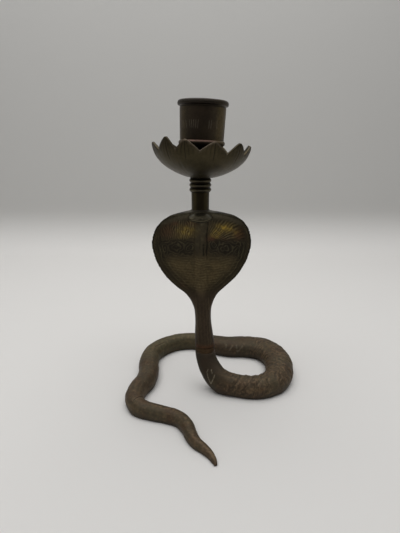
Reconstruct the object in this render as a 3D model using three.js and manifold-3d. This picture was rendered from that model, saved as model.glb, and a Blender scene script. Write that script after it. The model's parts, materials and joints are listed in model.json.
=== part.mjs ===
// Cobra candle holder in patinated brass. A snake lies in an open coil on the table, rears up in front
// of it and spreads its hood. A turned post stands on the crown of its head and carries a ringed
// collar, a lotus drip pan and a candle cup, which screws down through pan and collar into the post.
// Millimetres, +Z up. The snake faces -Y. The table is z = 0.

import * as THREE from "three";
import { mergeVertices } from "three/addons/utils/BufferGeometryUtils.js";
import Module from "manifold-3d";

const wasm = await Module();
wasm.setup();

// Candle cup, heights above the collar's top
const CANDLE_DIA = 22.2;
const CANDLE_ROOM = 0.4;
const CUP_WALL = 1.65;
const CUP_TAPER = 0.55;
const CUP_RIM_HEIGHT = 41.6;
const CUP_DEPTH = 20.4;
const CUP_LIP_PROUD = 1.3;
const CUP_LIP_HEIGHT = 4.1;
const CUP_BASE_HEIGHT = 17.2;
const CUP_BEAD_PROUD = 0.7;
const CUP_BEAD_HEIGHT = 3.6;
const CUP_STEM_DIA = 9;
const CUP_WAIST_DIA = 7.6;
// Hollow flare of the lip, round of the bead and waist of the stem, as shares of reach and height
const LIP_FLARE = [[0, 0], [0.15, 0.08], [0.6, 0.2], [0.88, 0.36], [1, 0.54], [1, 0.82], [0.75, 0.95], [0.4, 1]];
const BEAD_ROUND = [[-1.6, 0.04], [-0.5, 0.14], [0.7, 0.36], [1, 0.52], [1, 0.68], [0.7, 0.84], [0.15, 0.94]];
const STEM_WAIST = [[1, 0], [1, 0.09], [0, 0.18], [0, 0.68], [1, 0.86], [2.2, 0.96]];

// Screwed spigot under the cup
const SPIGOT_DIA = 6;
const SPIGOT_ROOM = 0.3;
const SPIGOT_LENGTH = 14.6;
const SPIGOT_CHAMFER = 0.6;

// Lotus drip pan, an outside profile as radius and height above the pan's foot
const PAN_FOOT_DIA = 13;
const PAN_FLOOR_WALL = 1.8;
const PAN_EDGE_WALL = 1.0;
const PAN_BELLY = [[9.7, 0.7], [13.2, 2.0], [17.5, 4.0], [21.1, 6.3], [24.2, 9.1], [26.5, 12.4], [28.0, 16.4]];
const PAN_END = [28.9, 21.2];
// Hand-cut petals: each tip's turn from the front towards +X in degrees, how far it stops short of
// the pan's end, and how deep under that end the notch after it is cut
const PETALS = [
  { turn: -72, short: 2.7, notch: 6.8 },
  { turn: -41, short: 0.0, notch: 6.3 },
  { turn: -18, short: 1.0, notch: 6.6 },
  { turn: 14, short: 1.8, notch: 8.2 },
  { turn: 45.5, short: 1.9, notch: 8.4 },
  { turn: 74, short: 3.3, notch: 7.6 },
  { turn: 99, short: 2.6, notch: 7.4 },
  { turn: 125, short: 2.4, notch: 7.8 },
  { turn: 157, short: 2.2, notch: 7.0 },
  { turn: 191, short: 1.6, notch: 6.9 },
  { turn: 225, short: 2.6, notch: 7.6 },
  { turn: 260, short: 3.2, notch: 6.6 },
];
const PETAL_FULLNESS = 1.15;
const PETAL_TIP_ROUND = 0.1;

// Collar and post
const COLLAR_HEIGHT = 7.9;
const COLLAR_DIA = 12.8;
const COLLAR_RINGS = 3;
const COLLAR_GROOVE = 0.4;
const POST_HEIGHT = 10.8;
const POST_TOP_DIA = 10.5;
const POST_FOOT_DIA = 10.3;
const POST_TENON_DIA = 5.6;
const POST_TENON_LENGTH = 6.5;
const POST_BORE_DEPTH = 7.2;
const POST_BRAZE_WIDTH = 0.45;
const POST_BRAZE_HEIGHT = 0.6;
const POST_OFFSET_X = 0.2;

// The cup and pan lean because the collar's top is filed off square and its hole follows that face
const CUP_LEAN_DEG = 2.2;
const LEANING_GAP = 0.3;
const FIT = 0.1;

// Joint between the two castings, in the neck
const NECK_JOINT_Z = 26;
const NECK_WIDTH = 12.9;
const NECK_DEPTH = 11.2;
const NECK_X = 3.3;
const NECK_TENON_DIA = 6.4;
const NECK_TENON_LENGTH = 9;
const NECK_BRAZE_HEIGHT = 3.4;
const NECK_BRAZE_PROUD = 0.05;

// Round seat for the post and its braze, on top of the hood casting
const CROWN_LIP = 0.2;
const CROWN_DIA = Math.max(POST_FOOT_DIA, POST_TOP_DIA) + FIT + 2 * (POST_BRAZE_WIDTH + CROWN_LIP);

// Hood casting: height above its foot, half width, middle in x, middle in y, forward curl of the
// sides, thickness of the body and of the edge, and how quickly the body thins out sideways
const HOOD_STATIONS = [
  { up: 0, half: NECK_WIDTH / 2, x: NECK_X, y: 0.0, curl: 0.0, body: NECK_DEPTH, edge: 0.0, round: 0.5 },
  { up: 8.6, half: 5.85, x: 2.55, y: 0.2, curl: 0.0, body: 10.4, edge: 0.0, round: 0.5 },
  { up: 18.1, half: 5.1, x: 2.05, y: 0.3, curl: 0.0, body: 9.6, edge: 0.0, round: 0.5 },
  { up: 25.6, half: 5.4, x: 1.75, y: 0.5, curl: 0.2, body: 9.0, edge: 0.2, round: 0.5 },
  { up: 31.6, half: 7.3, x: 1.4, y: 1.0, curl: 0.9, body: 8.0, edge: 0.8, round: 0.6 },
  { up: 36.5, half: 10.3, x: 0.95, y: 1.5, curl: 1.9, body: 6.8, edge: 1.5, round: 0.75 },
  { up: 41.1, half: 15.4, x: 0.45, y: 2.0, curl: 3.0, body: 5.6, edge: 2.0, round: 0.9 },
  { up: 48.4, half: 22.2, x: 0.6, y: 2.6, curl: 4.4, body: 4.2, edge: 2.3, round: 1.0 },
  { up: 58.2, half: 27.6, x: 0.75, y: 2.9, curl: 5.6, body: 3.2, edge: 2.4, round: 1.0 },
  { up: 68.6, half: 29.8, x: 0.9, y: 2.2, curl: 6.0, body: 3.2, edge: 2.4, round: 1.0 },
  { up: 77.3, half: 28.0, x: 1.2, y: 0.7, curl: 5.4, body: 4.2, edge: 2.3, round: 1.0 },
  { up: 83.0, half: 23.5, x: 1.5, y: -0.5, curl: 4.2, body: 5.6, edge: 2.2, round: 0.9 },
  { up: 86.1, half: 18.3, x: 1.4, y: -1.3, curl: 2.8, body: 6.8, edge: 2.0, round: 0.8 },
  { up: 87.4, half: 12.6, x: 1.0, y: -1.4, curl: 1.2, body: 8.2, edge: 1.6, round: 0.6 },
  { up: 88.0, half: 8.0, x: 0.4, y: -0.7, curl: 0.2, body: 10.4, edge: 0.2, round: 0.5 },
  { up: 88.3, half: CROWN_DIA / 2, x: POST_OFFSET_X, y: 0.0, curl: 0.0, body: CROWN_DIA, edge: 0.0, round: 0.5 },
];
const HOOD_RIB_HALF = 4.0;
const HOOD_RIB_PROUD = 2.0;
const HOOD_RIB_FROM = 28.6;
const HOOD_RIB_FULL = 46.6;
const HOOD_RIB_FADE = 81;
const HOOD_RIB_END = 86.5;

// Head, bent forward and down from the crown: distance in front of the post, half width, and its top
// and underside measured down from the hood's top
const HEAD_STATIONS = [
  { forward: -3.6, half: 5.4, top: 0.9, under: 9.4 },
  { forward: 0.5, half: 6.0, top: 0.5, under: 8.4 },
  { forward: 4.8, half: 6.6, top: 0.5, under: 7.0 },
  { forward: 8.6, half: 6.75, top: 0.9, under: 6.0 },
  { forward: 11.2, half: 6.2, top: 1.5, under: 5.4 },
  { forward: 12.6, half: 4.6, top: 2.2, under: 4.7 },
];
const HEAD_MIDDLE_X = 0.2;
const HEAD_STEPS = 14;
const HEAD_SIDES = 20;

// Coil casting from the tail's tip to the neck: x and y from the post's foot, width, height
const COIL_STATIONS = [
  { x: 7.9, y: -72.8, width: 1.6, height: 1.6 },
  { x: 7.1, y: -70.3, width: 3.0, height: 3.0 },
  { x: 5.1, y: -66.5, width: 4.1, height: 4.0 },
  { x: 1.9, y: -62.6, width: 5.1, height: 5.0 },
  { x: -2.2, y: -58.6, width: 6.1, height: 5.9 },
  { x: -4.9, y: -53.4, width: 7.0, height: 6.7 },
  { x: -7.2, y: -47.0, width: 7.9, height: 7.5 },
  { x: -11.6, y: -40.7, width: 8.5, height: 7.9 },
  { x: -19.6, y: -36.9, width: 9.0, height: 8.3 },
  { x: -28.6, y: -34.0, width: 9.7, height: 8.8 },
  { x: -36.6, y: -30.0, width: 10.8, height: 9.4 },
  { x: -40.6, y: -21.7, width: 11.6, height: 9.9 },
  { x: -39.8, y: -12.4, width: 12.4, height: 10.4 },
  { x: -36.3, y: -3.2, width: 13.3, height: 10.8 },
  { x: -35.4, y: 8.0, width: 13.8, height: 11.1 },
  { x: -36.7, y: 20.3, width: 13.9, height: 11.4 },
  { x: -35.5, y: 34.0, width: 13.2, height: 11.6 },
  { x: -28.5, y: 44.8, width: 12.7, height: 11.7 },
  { x: -17.2, y: 52.1, width: 11.9, height: 11.7 },
  { x: -4.0, y: 53.6, width: 12.3, height: 11.8 },
  { x: 9.0, y: 48.8, width: 15.6, height: 12.1 },
  { x: 22.0, y: 44.6, width: 18.2, height: 12.3 },
  { x: 36.0, y: 44.5, width: 20.4, height: 12.4 },
  { x: 48.8, y: 39.8, width: 21.4, height: 12.5 },
  { x: 55.3, y: 27.4, width: 19.8, height: 12.5 },
  { x: 55.4, y: 12.0, width: 19.0, height: 12.5 },
  { x: 49.8, y: -3.2, width: 17.8, height: 12.4 },
  { x: 37.4, y: -10.8, width: 15.2, height: 12.4 },
];
// Heel, where the body turns up into the neck: centre, measured down from the joint in the neck,
// half width across and half depth along the bend
const HEEL_STATIONS = [
  { x: 23.0, y: -9.2, down: 20.6, across: 7.3, along: 7.2 },
  { x: 12.6, y: -6.8, down: 18.0, across: 7.0, along: 8.0 },
  { x: 7.0, y: -3.2, down: 12.0, across: 6.5, along: 7.2 },
  { x: 4.1, y: -0.8, down: 5.4, across: 6.0, along: 6.5 },
  { x: NECK_X, y: 0.0, down: 0, across: NECK_DEPTH / 2, along: NECK_WIDTH / 2 },
];
// Share of the height under the widest point, and how full the section is there
const FLAT_SHARE = 0.4;
const FOOT_FULLNESS = 0.72;

const TURNED_SIDES = 36;
const PAN_RINGS = 6;
const COIL_STEPS = 96;
const COIL_SIDES = 18;
const HOOD_STEPS = 34;
const HOOD_HALF_POINTS = 20;
const PETAL_STEPS = [0, 0.14, 0.42, 0.72, 1, 0.72, 0.42, 0.14];

const brass = (color, roughness, metalness = 0.85) =>
  new THREE.MeshStandardMaterial({ color, roughness, metalness });
const coilFinish = brass(0x5a4a36, 0.5);
const hoodFinish = brass(0x4e4229, 0.42);
const turnedFinish = brass(0x4a4230, 0.4);
const brazeFinish = brass(0x7a5230, 0.55);

// Closed solid from a geometry, whichever way round its faces were wound
function solidOf(geometry) {
  geometry.deleteAttribute("normal");
  geometry.deleteAttribute("uv");
  const merged = mergeVertices(geometry, 1e-5);
  const at = merged.attributes.position;
  const corner = [new THREE.Vector3(), new THREE.Vector3(), new THREE.Vector3()];
  const triangles = [];
  let volume = 0;
  for (let i = 0; i < merged.index.count; i += 3) {
    const [a, b, c] = [0, 1, 2].map((k) => merged.index.getX(i + k));
    if (a === b || b === c || c === a) continue;
    [a, b, c].forEach((index, k) => corner[k].fromBufferAttribute(at, index));
    volume += corner[0].dot(corner[1].clone().cross(corner[2]));
    triangles.push([a, b, c]);
  }
  const wound = volume < 0 ? triangles.map(([a, b, c]) => [a, c, b]) : triangles;
  return new wasm.Manifold(new wasm.Mesh({
    numProp: 3,
    vertProperties: new Float32Array(at.array),
    triVerts: new Uint32Array(wound.flat()),
  }));
}

function meshOf(name, solid, material) {
  const { vertProperties, triVerts } = solid.getMesh();
  const geometry = new THREE.BufferGeometry();
  geometry.setAttribute("position", new THREE.BufferAttribute(new Float32Array(vertProperties), 3));
  geometry.setIndex(new THREE.BufferAttribute(new Uint32Array(triVerts), 1));
  geometry.computeVertexNormals();
  const mesh = new THREE.Mesh(geometry, material);
  mesh.name = name;
  return mesh;
}

// Solid of revolution about Z from [radius, height] points
function turned(profile, matrix = new THREE.Matrix4()) {
  const points = profile.map(([radius, height]) => new THREE.Vector2(radius, height));
  const geometry = new THREE.LatheGeometry(points, TURNED_SIDES);
  geometry.rotateX(Math.PI / 2);
  geometry.applyMatrix4(matrix);
  return solidOf(geometry);
}

function cylinder(radius, bottom, top, matrix) {
  return turned([[0, bottom], [radius, bottom], [radius, top], [0, top]], matrix);
}

function at(x, y, z = 0) {
  return new THREE.Matrix4().makeTranslation(x, y, z);
}

// Closed solid through a row of rings that all have the same number of points
function loft(rings, closedRow = false) {
  const sides = rings[0].length;
  const positions = rings.flat().flatMap((point) => [point.x, point.y, point.z]);
  const index = [];
  const rows = closedRow ? rings.length : rings.length - 1;
  for (let i = 0; i < rows; i += 1) {
    const next = (i + 1) % rings.length;
    for (let j = 0; j < sides; j += 1) {
      const k = (j + 1) % sides;
      const [a, b, c, d] = [i * sides + j, i * sides + k, next * sides + k, next * sides + j];
      index.push(a, b, c, a, c, d);
    }
  }
  if (!closedRow) {
    for (const [row, turn] of [[0, 1], [rings.length - 1, -1]]) {
      const middle = new THREE.Vector3();
      rings[row].forEach((point) => middle.addScaledVector(point, 1 / sides));
      const hub = positions.length / 3;
      positions.push(middle.x, middle.y, middle.z);
      for (let j = 0; j < sides; j += 1) {
        const k = (j + 1) % sides;
        index.push(hub, row * sides + (turn > 0 ? k : j), row * sides + (turn > 0 ? j : k));
      }
    }
  }
  const geometry = new THREE.BufferGeometry();
  geometry.setAttribute("position", new THREE.Float32BufferAttribute(positions, 3));
  geometry.setIndex(index);
  return solidOf(geometry);
}

// Smooth value of a named size along a list of stations, by share of the list from 0 to 1
function smooth(stations, key) {
  const values = stations.map((station, i) => new THREE.Vector3(i, station[key], 0));
  const curve = new THREE.CatmullRomCurve3(values, false, "centripetal");
  return (share) => curve.getPoint(share).y;
}

// Heights that follow from the stack of pieces
const hoodFoot = NECK_JOINT_Z + NECK_BRAZE_HEIGHT;
const hoodTop = hoodFoot + HOOD_STATIONS[HOOD_STATIONS.length - 1].up;
const postTop = hoodTop + POST_HEIGHT;
const collarTop = postTop + COLLAR_HEIGHT;
const postX = POST_OFFSET_X;

// Frame of the leaning cup and pan, with its origin in the middle of the collar's top
const lean = THREE.MathUtils.degToRad(CUP_LEAN_DEG);
const leaning = at(postX, 0, collarTop).multiply(new THREE.Matrix4().makeRotationY(lean));
const panFoot = LEANING_GAP;
const panFloor = panFoot + PAN_FLOOR_WALL;
const spigotRadius = SPIGOT_DIA / 2;
const drillRadius = spigotRadius + SPIGOT_ROOM;

function candleCup() {
  const bore = (CANDLE_DIA + CANDLE_ROOM) / 2;
  const body = bore + CUP_WALL;
  const lowBody = body - CUP_TAPER;
  const floor = CUP_RIM_HEIGHT - CUP_DEPTH;
  const rim = CUP_RIM_HEIGHT;
  const base = CUP_BASE_HEIGHT;
  const waist = CUP_WAIST_DIA / 2;
  const stemReach = CUP_STEM_DIA / 2 - waist;
  const shoulder = panFloor + LEANING_GAP;
  const stem = STEM_WAIST.map(([out, up]) => [waist + out * stemReach, shoulder + up * (base - shoulder)]);
  const bead = BEAD_ROUND.map(([out, up]) => [lowBody + out * CUP_BEAD_PROUD, base + up * CUP_BEAD_HEIGHT]);
  const lip = LIP_FLARE.map(([out, up]) => [body + out * CUP_LIP_PROUD, rim - CUP_LIP_HEIGHT * (1 - up)]);
  const beadTop = base + CUP_BEAD_HEIGHT;
  const chamfer = CUP_WALL / 3;
  return turned([
    [0, -SPIGOT_LENGTH],
    [spigotRadius - SPIGOT_CHAMFER, -SPIGOT_LENGTH],
    [spigotRadius, -SPIGOT_LENGTH + SPIGOT_CHAMFER],
    [spigotRadius, shoulder],
    ...stem,
    ...bead,
    [lowBody, beadTop],
    [(lowBody + body) / 2, (beadTop + rim - CUP_LIP_HEIGHT) / 2],
    ...lip,
    [bore + chamfer, rim],
    [bore, rim - chamfer],
    [bore, floor],
    [0, floor],
  ], leaning);
}

// How far a petal's edge stands above the notch, from 1 at the tip to 0 at the notch
function petalReach(step) {
  const fall = (t) => Math.hypot(t, PETAL_TIP_ROUND) - PETAL_TIP_ROUND;
  return 1 - fall(Math.pow(step, PETAL_FULLNESS)) / fall(1);
}

// Lotus pan. Its profile is followed from the hole out to the petals' edge and back inside.
function dripPan() {
  const points = [[PAN_FOOT_DIA / 2, 0], ...PAN_BELLY, PAN_END];
  const profile = new THREE.SplineCurve(points.map(([r, z]) => new THREE.Vector2(r, z)));
  const length = profile.getLength();
  const rings = [];
  PETALS.forEach((petal, i) => {
    const next = PETALS[(i + 1) % PETALS.length];
    const width = (next.turn - petal.turn + 360) % 360;
    PETAL_STEPS.forEach((step, column) => {
      const past = column >= PETAL_STEPS.length / 2;
      const tip = past ? next.short : petal.short;
      const turn = petal.turn - 90 + (width / 2) * (past ? 2 - step : step);
      const share = 1 - THREE.MathUtils.lerp(petal.notch, tip, petalReach(step)) / length;
      rings.push(panSection(profile, share, THREE.MathUtils.degToRad(turn)));
    });
  });
  return loft(rings, true);
}

// Section of the pan's wall in one direction, cut off at a share of the profile
function panSection(profile, share, turn) {
  const outside = [new THREE.Vector2(drillRadius, 0)];
  const inside = [new THREE.Vector2(drillRadius, PAN_FLOOR_WALL)];
  for (let k = 0; k <= PAN_RINGS; k += 1) {
    const along = (k / PAN_RINGS) * share;
    const point = profile.getPointAt(along);
    const tangent = profile.getTangentAt(along);
    const wall = PAN_FLOOR_WALL + (PAN_EDGE_WALL - PAN_FLOOR_WALL) * along;
    outside.push(point);
    inside.push(new THREE.Vector2(point.x - tangent.y * wall, point.y + tangent.x * wall));
  }
  return [...outside, ...inside.reverse()].map(({ x, y }) =>
    new THREE.Vector3(x * Math.cos(turn), x * Math.sin(turn), y + panFoot).applyMatrix4(leaning));
}

// Collar of round beads, filed off along the lean on top
function ringedCollar() {
  const outer = COLLAR_DIA / 2;
  const ring = COLLAR_HEIGHT / COLLAR_RINGS;
  const profile = [[0, postTop]];
  for (let i = 0; i < COLLAR_RINGS; i += 1) {
    const low = postTop + i * ring;
    profile.push([outer - COLLAR_GROOVE, low]);
    profile.push([outer - COLLAR_GROOVE * 0.3, low + ring * 0.16]);
    profile.push([outer, low + ring * 0.4]);
    profile.push([outer, low + ring * 0.6]);
    profile.push([outer - COLLAR_GROOVE * 0.3, low + ring * 0.84]);
  }
  const over = collarTop + outer * Math.tan(lean);
  profile.push([outer - COLLAR_GROOVE, collarTop], [outer - COLLAR_GROOVE, over], [0, over]);
  return turned(profile, at(postX, 0))
    .subtract(cylinder(COLLAR_DIA, 0, COLLAR_HEIGHT, leaning))
    .subtract(screwHole());
}

// Hole for the spigot through the collar into the post
function screwHole() {
  const depth = COLLAR_HEIGHT + POST_BORE_DEPTH;
  return cylinder(drillRadius, -depth, COLLAR_HEIGHT, leaning);
}

function post() {
  const tenon = POST_TENON_DIA / 2;
  return turned([
    [0, hoodTop - POST_TENON_LENGTH],
    [tenon, hoodTop - POST_TENON_LENGTH],
    [tenon, hoodTop],
    [POST_FOOT_DIA / 2, hoodTop],
    [POST_TOP_DIA / 2, postTop],
    [0, postTop],
  ], at(postX, 0)).subtract(screwHole());
}

// Small fillet of braze metal round the post's foot
function postBraze() {
  const inner = Math.max(POST_FOOT_DIA, POST_TOP_DIA) / 2 + FIT / 2;
  const width = POST_BRAZE_WIDTH;
  return turned([
    [inner, hoodTop],
    [inner + width, hoodTop],
    [inner + width * 0.45, hoodTop + POST_BRAZE_HEIGHT * 0.35],
    [inner + width * 0.15, hoodTop + POST_BRAZE_HEIGHT],
    [inner, hoodTop + POST_BRAZE_HEIGHT],
    [inner, hoodTop],
  ], at(postX, 0));
}

// Neck, hood and head in one casting
function hoodCasting() {
  const size = {};
  for (const key of Object.keys(HOOD_STATIONS[0])) size[key] = smooth(HOOD_STATIONS, key);
  const rings = [];
  for (let i = 0; i <= HOOD_STEPS; i += 1) {
    const share = i / HOOD_STEPS;
    const up = size.up(share);
    const [half, midX, midY, curl] = [size.half(share), size.x(share), size.y(share), size.curl(share)];
    const [body, edge, round] = [size.body(share), Math.max(0, size.edge(share)), size.round(share)];
    const ribFade = THREE.MathUtils.smoothstep(up, HOOD_RIB_FADE, HOOD_RIB_END);
    const ribRise = (THREE.MathUtils.smoothstep(up, HOOD_RIB_FROM, HOOD_RIB_FULL) - ribFade) * HOOD_RIB_PROUD;
    const front = [];
    const back = [];
    for (let j = 0; j <= HOOD_HALF_POINTS; j += 1) {
      const even = (2 * j) / HOOD_HALF_POINTS - 1;
      const across = (Math.sin(even * Math.PI / 2) + even) / 2;
      const thick = (edge * Math.sqrt(Math.max(0, 1 - across ** 6)) +
        body * Math.pow(Math.max(0, 1 - across ** 2), round)) / 2;
      const x = midX + half * across;
      const spine = midY - curl * across ** 2;
      const fromRib = Math.min(1, Math.abs((x - midX) / HOOD_RIB_HALF));
      const rib = ribRise * Math.cos(fromRib * Math.PI / 2) ** 2;
      front.push(new THREE.Vector3(x, spine - thick - rib, hoodFoot + up));
      if (j > 0 && j < HOOD_HALF_POINTS) back.unshift(new THREE.Vector3(x, spine + thick, hoodFoot + up));
    }
    rings.push([...front, ...back]);
  }
  const tenon = cylinder(NECK_TENON_DIA / 2, NECK_JOINT_Z - NECK_TENON_LENGTH + FIT,
    hoodFoot + HOOD_STATIONS[1].up, at(NECK_X, 0));
  const socket = cylinder(POST_TENON_DIA / 2 + FIT, hoodTop - POST_TENON_LENGTH - FIT, postTop, at(postX, 0));
  return loft(rings).add(head()).add(tenon).subtract(socket);
}

// Small flattened head with rounded sides
function head() {
  const size = {};
  for (const key of Object.keys(HEAD_STATIONS[0])) size[key] = smooth(HEAD_STATIONS, key);
  const rings = [];
  for (let i = 0; i <= HEAD_STEPS; i += 1) {
    const share = i / HEAD_STEPS;
    const [top, under] = [hoodTop - size.top(share), hoodTop - size.under(share)];
    const ring = [];
    for (let j = 0; j < HEAD_SIDES; j += 1) {
      const turn = (j / HEAD_SIDES) * 2 * Math.PI;
      const x = HEAD_MIDDLE_X + size.half(share) * Math.cos(turn);
      const z = (top + under) / 2 + ((top - under) / 2) * Math.sin(turn);
      ring.push(new THREE.Vector3(x, -size.forward(share), z));
    }
    rings.push(ring);
  }
  return loft(rings);
}

// Band of braze metal between the castings, a hair proud of the neck
function neckBraze() {
  const levels = 4;
  const rings = [];
  for (let i = 0; i <= levels; i += 1) {
    const share = i / levels;
    const proud = NECK_BRAZE_PROUD * Math.sin(share * Math.PI);
    const ring = [];
    for (let j = 0; j < TURNED_SIDES; j += 1) {
      const turn = (j / TURNED_SIDES) * 2 * Math.PI;
      ring.push(new THREE.Vector3(
        NECK_X + (NECK_WIDTH / 2 + proud) * Math.cos(turn),
        (NECK_DEPTH / 2 + proud) * Math.sin(turn),
        THREE.MathUtils.lerp(NECK_JOINT_Z, hoodFoot, share),
      ));
    }
    rings.push(ring);
  }
  const hole = cylinder(NECK_TENON_DIA / 2 + FIT, 0, hoodFoot + NECK_BRAZE_HEIGHT, at(NECK_X, 0));
  return loft(rings).subtract(hole);
}

// Coil, tail and heel in one casting, with a flat where it stands on the table
function coilCasting() {
  const lying = COIL_STATIONS.map(({ x, y, width, height }) => ({
    x, y, z: height * FLAT_SHARE, across: width / 2, along: height * (1 - FLAT_SHARE),
  }));
  const heel = HEEL_STATIONS.map(({ down, ...rest }) => ({ ...rest, z: NECK_JOINT_Z - down }));
  const stations = [...lying, ...heel];
  const route = new THREE.CatmullRomCurve3(
    stations.map(({ x, y, z }) => new THREE.Vector3(x, y, z)), false, "centripetal");
  const across = smooth(stations, "across");
  const along = smooth(stations, "along");
  const side = new THREE.Vector3();
  const rise = new THREE.Vector3();
  const rings = [];
  for (let i = 0; i <= COIL_STEPS; i += 1) {
    const share = i / COIL_STEPS;
    const centre = route.getPoint(share);
    const tangent = route.getTangent(share);
    if (i === COIL_STEPS) tangent.set(0, 0, 1);
    const flat = Math.hypot(tangent.x, tangent.y);
    if (flat > 0.35 || i === 0) side.set(-tangent.y, tangent.x, 0).normalize();
    if (tangent.z > 0.6) side.lerp(new THREE.Vector3(0, -1, 0), THREE.MathUtils.smoothstep(tangent.z, 0.6, 0.97));
    side.addScaledVector(tangent, -side.dot(tangent)).normalize();
    rise.crossVectors(tangent, side).normalize();
    const upright = THREE.MathUtils.smoothstep(tangent.z, 0, 0.6);
    const ring = [];
    for (let j = 0; j < COIL_SIDES; j += 1) {
      const turn = (j / COIL_SIDES) * 2 * Math.PI;
      const reach = Math.sin(turn) < 0 ? Math.abs(Math.cos(turn)) ** FOOT_FULLNESS : Math.abs(Math.cos(turn));
      const full = THREE.MathUtils.lerp(reach, Math.abs(Math.cos(turn)), upright);
      const point = centre.clone()
        .addScaledVector(side, across(share) * Math.sign(Math.cos(turn)) * full)
        .addScaledVector(rise, along(share) * Math.sin(turn));
      point.z = Math.max(0, point.z);
      ring.push(point);
    }
    rings.push(ring);
  }
  const socket = cylinder(NECK_TENON_DIA / 2 + FIT, NECK_JOINT_Z - NECK_TENON_LENGTH, hoodFoot, at(NECK_X, 0));
  return loft(rings).subtract(socket);
}

const holder = new THREE.Group();
holder.add(
  meshOf("coil_casting", coilCasting(), coilFinish),
  meshOf("neck_braze", neckBraze(), brazeFinish),
  meshOf("hood_casting", hoodCasting(), hoodFinish),
  meshOf("post_braze", postBraze(), brazeFinish),
  meshOf("post", post(), turnedFinish),
  meshOf("ringed_collar", ringedCollar(), turnedFinish),
  meshOf("drip_pan", dripPan(), turnedFinish),
  meshOf("candle_cup", candleCup(), turnedFinish),
);

// The frame's origin is on the table, in the middle of the holder's footprint
const footprint = new THREE.Box3().setFromObject(holder, true).getCenter(new THREE.Vector3());
holder.position.set(-footprint.x, -footprint.y, 0);

export default holder;
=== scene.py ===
# Cobra candle holder in patinated brass: the looks of every piece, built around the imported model.
# Laid out as a Blender add-on and run as a script. Lengths are in metres. Profiles, routes and
# engraving are drawn in millimetres and made metres where they meet a mesh.

import json
import math
from functools import partial

import bmesh
import bpy
import numpy as np
from mathutils import Matrix, Vector


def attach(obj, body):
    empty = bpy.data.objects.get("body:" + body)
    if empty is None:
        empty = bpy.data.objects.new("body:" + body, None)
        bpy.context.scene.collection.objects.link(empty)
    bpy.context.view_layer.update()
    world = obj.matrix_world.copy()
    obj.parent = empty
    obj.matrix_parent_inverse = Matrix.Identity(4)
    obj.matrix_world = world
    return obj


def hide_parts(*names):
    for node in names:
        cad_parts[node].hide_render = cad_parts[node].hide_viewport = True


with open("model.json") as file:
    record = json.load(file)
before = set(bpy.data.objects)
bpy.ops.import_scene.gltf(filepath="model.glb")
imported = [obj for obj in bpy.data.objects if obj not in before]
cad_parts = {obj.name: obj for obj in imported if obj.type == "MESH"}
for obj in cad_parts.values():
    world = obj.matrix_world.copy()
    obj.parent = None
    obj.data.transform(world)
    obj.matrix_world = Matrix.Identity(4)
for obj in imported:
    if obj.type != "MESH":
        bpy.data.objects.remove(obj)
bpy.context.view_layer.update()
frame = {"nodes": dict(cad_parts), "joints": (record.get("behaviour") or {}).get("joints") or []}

bl_info = {
    "name": "Cobra candle holder",
    "version": (1, 1, 0),
    "blender": (4, 5, 0),
    "location": "3D view > Sidebar > Candle holder",
    "description": "Builds a cobra candle holder in patinated brass, piece by piece",
    "category": "Object",
}

MM = 0.001

# The cup's screw gives the axis of everything that leans, and the middle of the collar's top
screw = next(joint for joint in frame["joints"] if joint["name"] == "cup_screw")
screw_point = Vector(screw["pos_m"])
screw_axis = Vector(screw["axis"]).normalized()
lean = math.atan2(screw_axis.x, screw_axis.z)
leaning = Matrix.Translation(screw_point) @ Matrix.Rotation(lean, 4, "Y")

# The camera looks past the post 0.2 mm to its left. The snake's patterns are drawn in millimetres
# from the foot of that line of sight, on the table under the post
SIGHT_OFFSET = 0.2
FOOT = np.array((screw_point.x / MM - SIGHT_OFFSET, screw_point.y / MM, 0.0))


def linear(hex_colour):
    """Linear RGBA from an sRGB hex value."""
    parts = [int(hex_colour[i:i + 2], 16) / 255 for i in (1, 3, 5)]
    return tuple(c / 12.92 if c <= 0.04045 else ((c + 0.055) / 1.055) ** 2.4 for c in parts) + (1.0,)


def node(tree, kind, *inputs, output=None, **settings):
    """Adds a node with its settings and links, and returns its first live output or the one asked for.

    The inputs come in their order, or as one dictionary by name. A kind in capitals is an operation
    of the Math node.
    """
    if kind.isupper():
        kind, settings["operation"] = "ShaderNodeMath", kind
    made = tree.nodes.new(kind)
    for key, value in settings.items():
        setattr(made, key, value)
    named = inputs[0] if inputs and isinstance(inputs[0], dict) else dict(enumerate(inputs))
    for key, value in named.items():
        if isinstance(value, bpy.types.NodeSocket):
            tree.links.new(value, made.inputs[key])
        else:
            made.inputs[key].default_value = value
    if output:
        return made.outputs[output]
    return next((socket for socket in made.outputs if socket.enabled), None)


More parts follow.
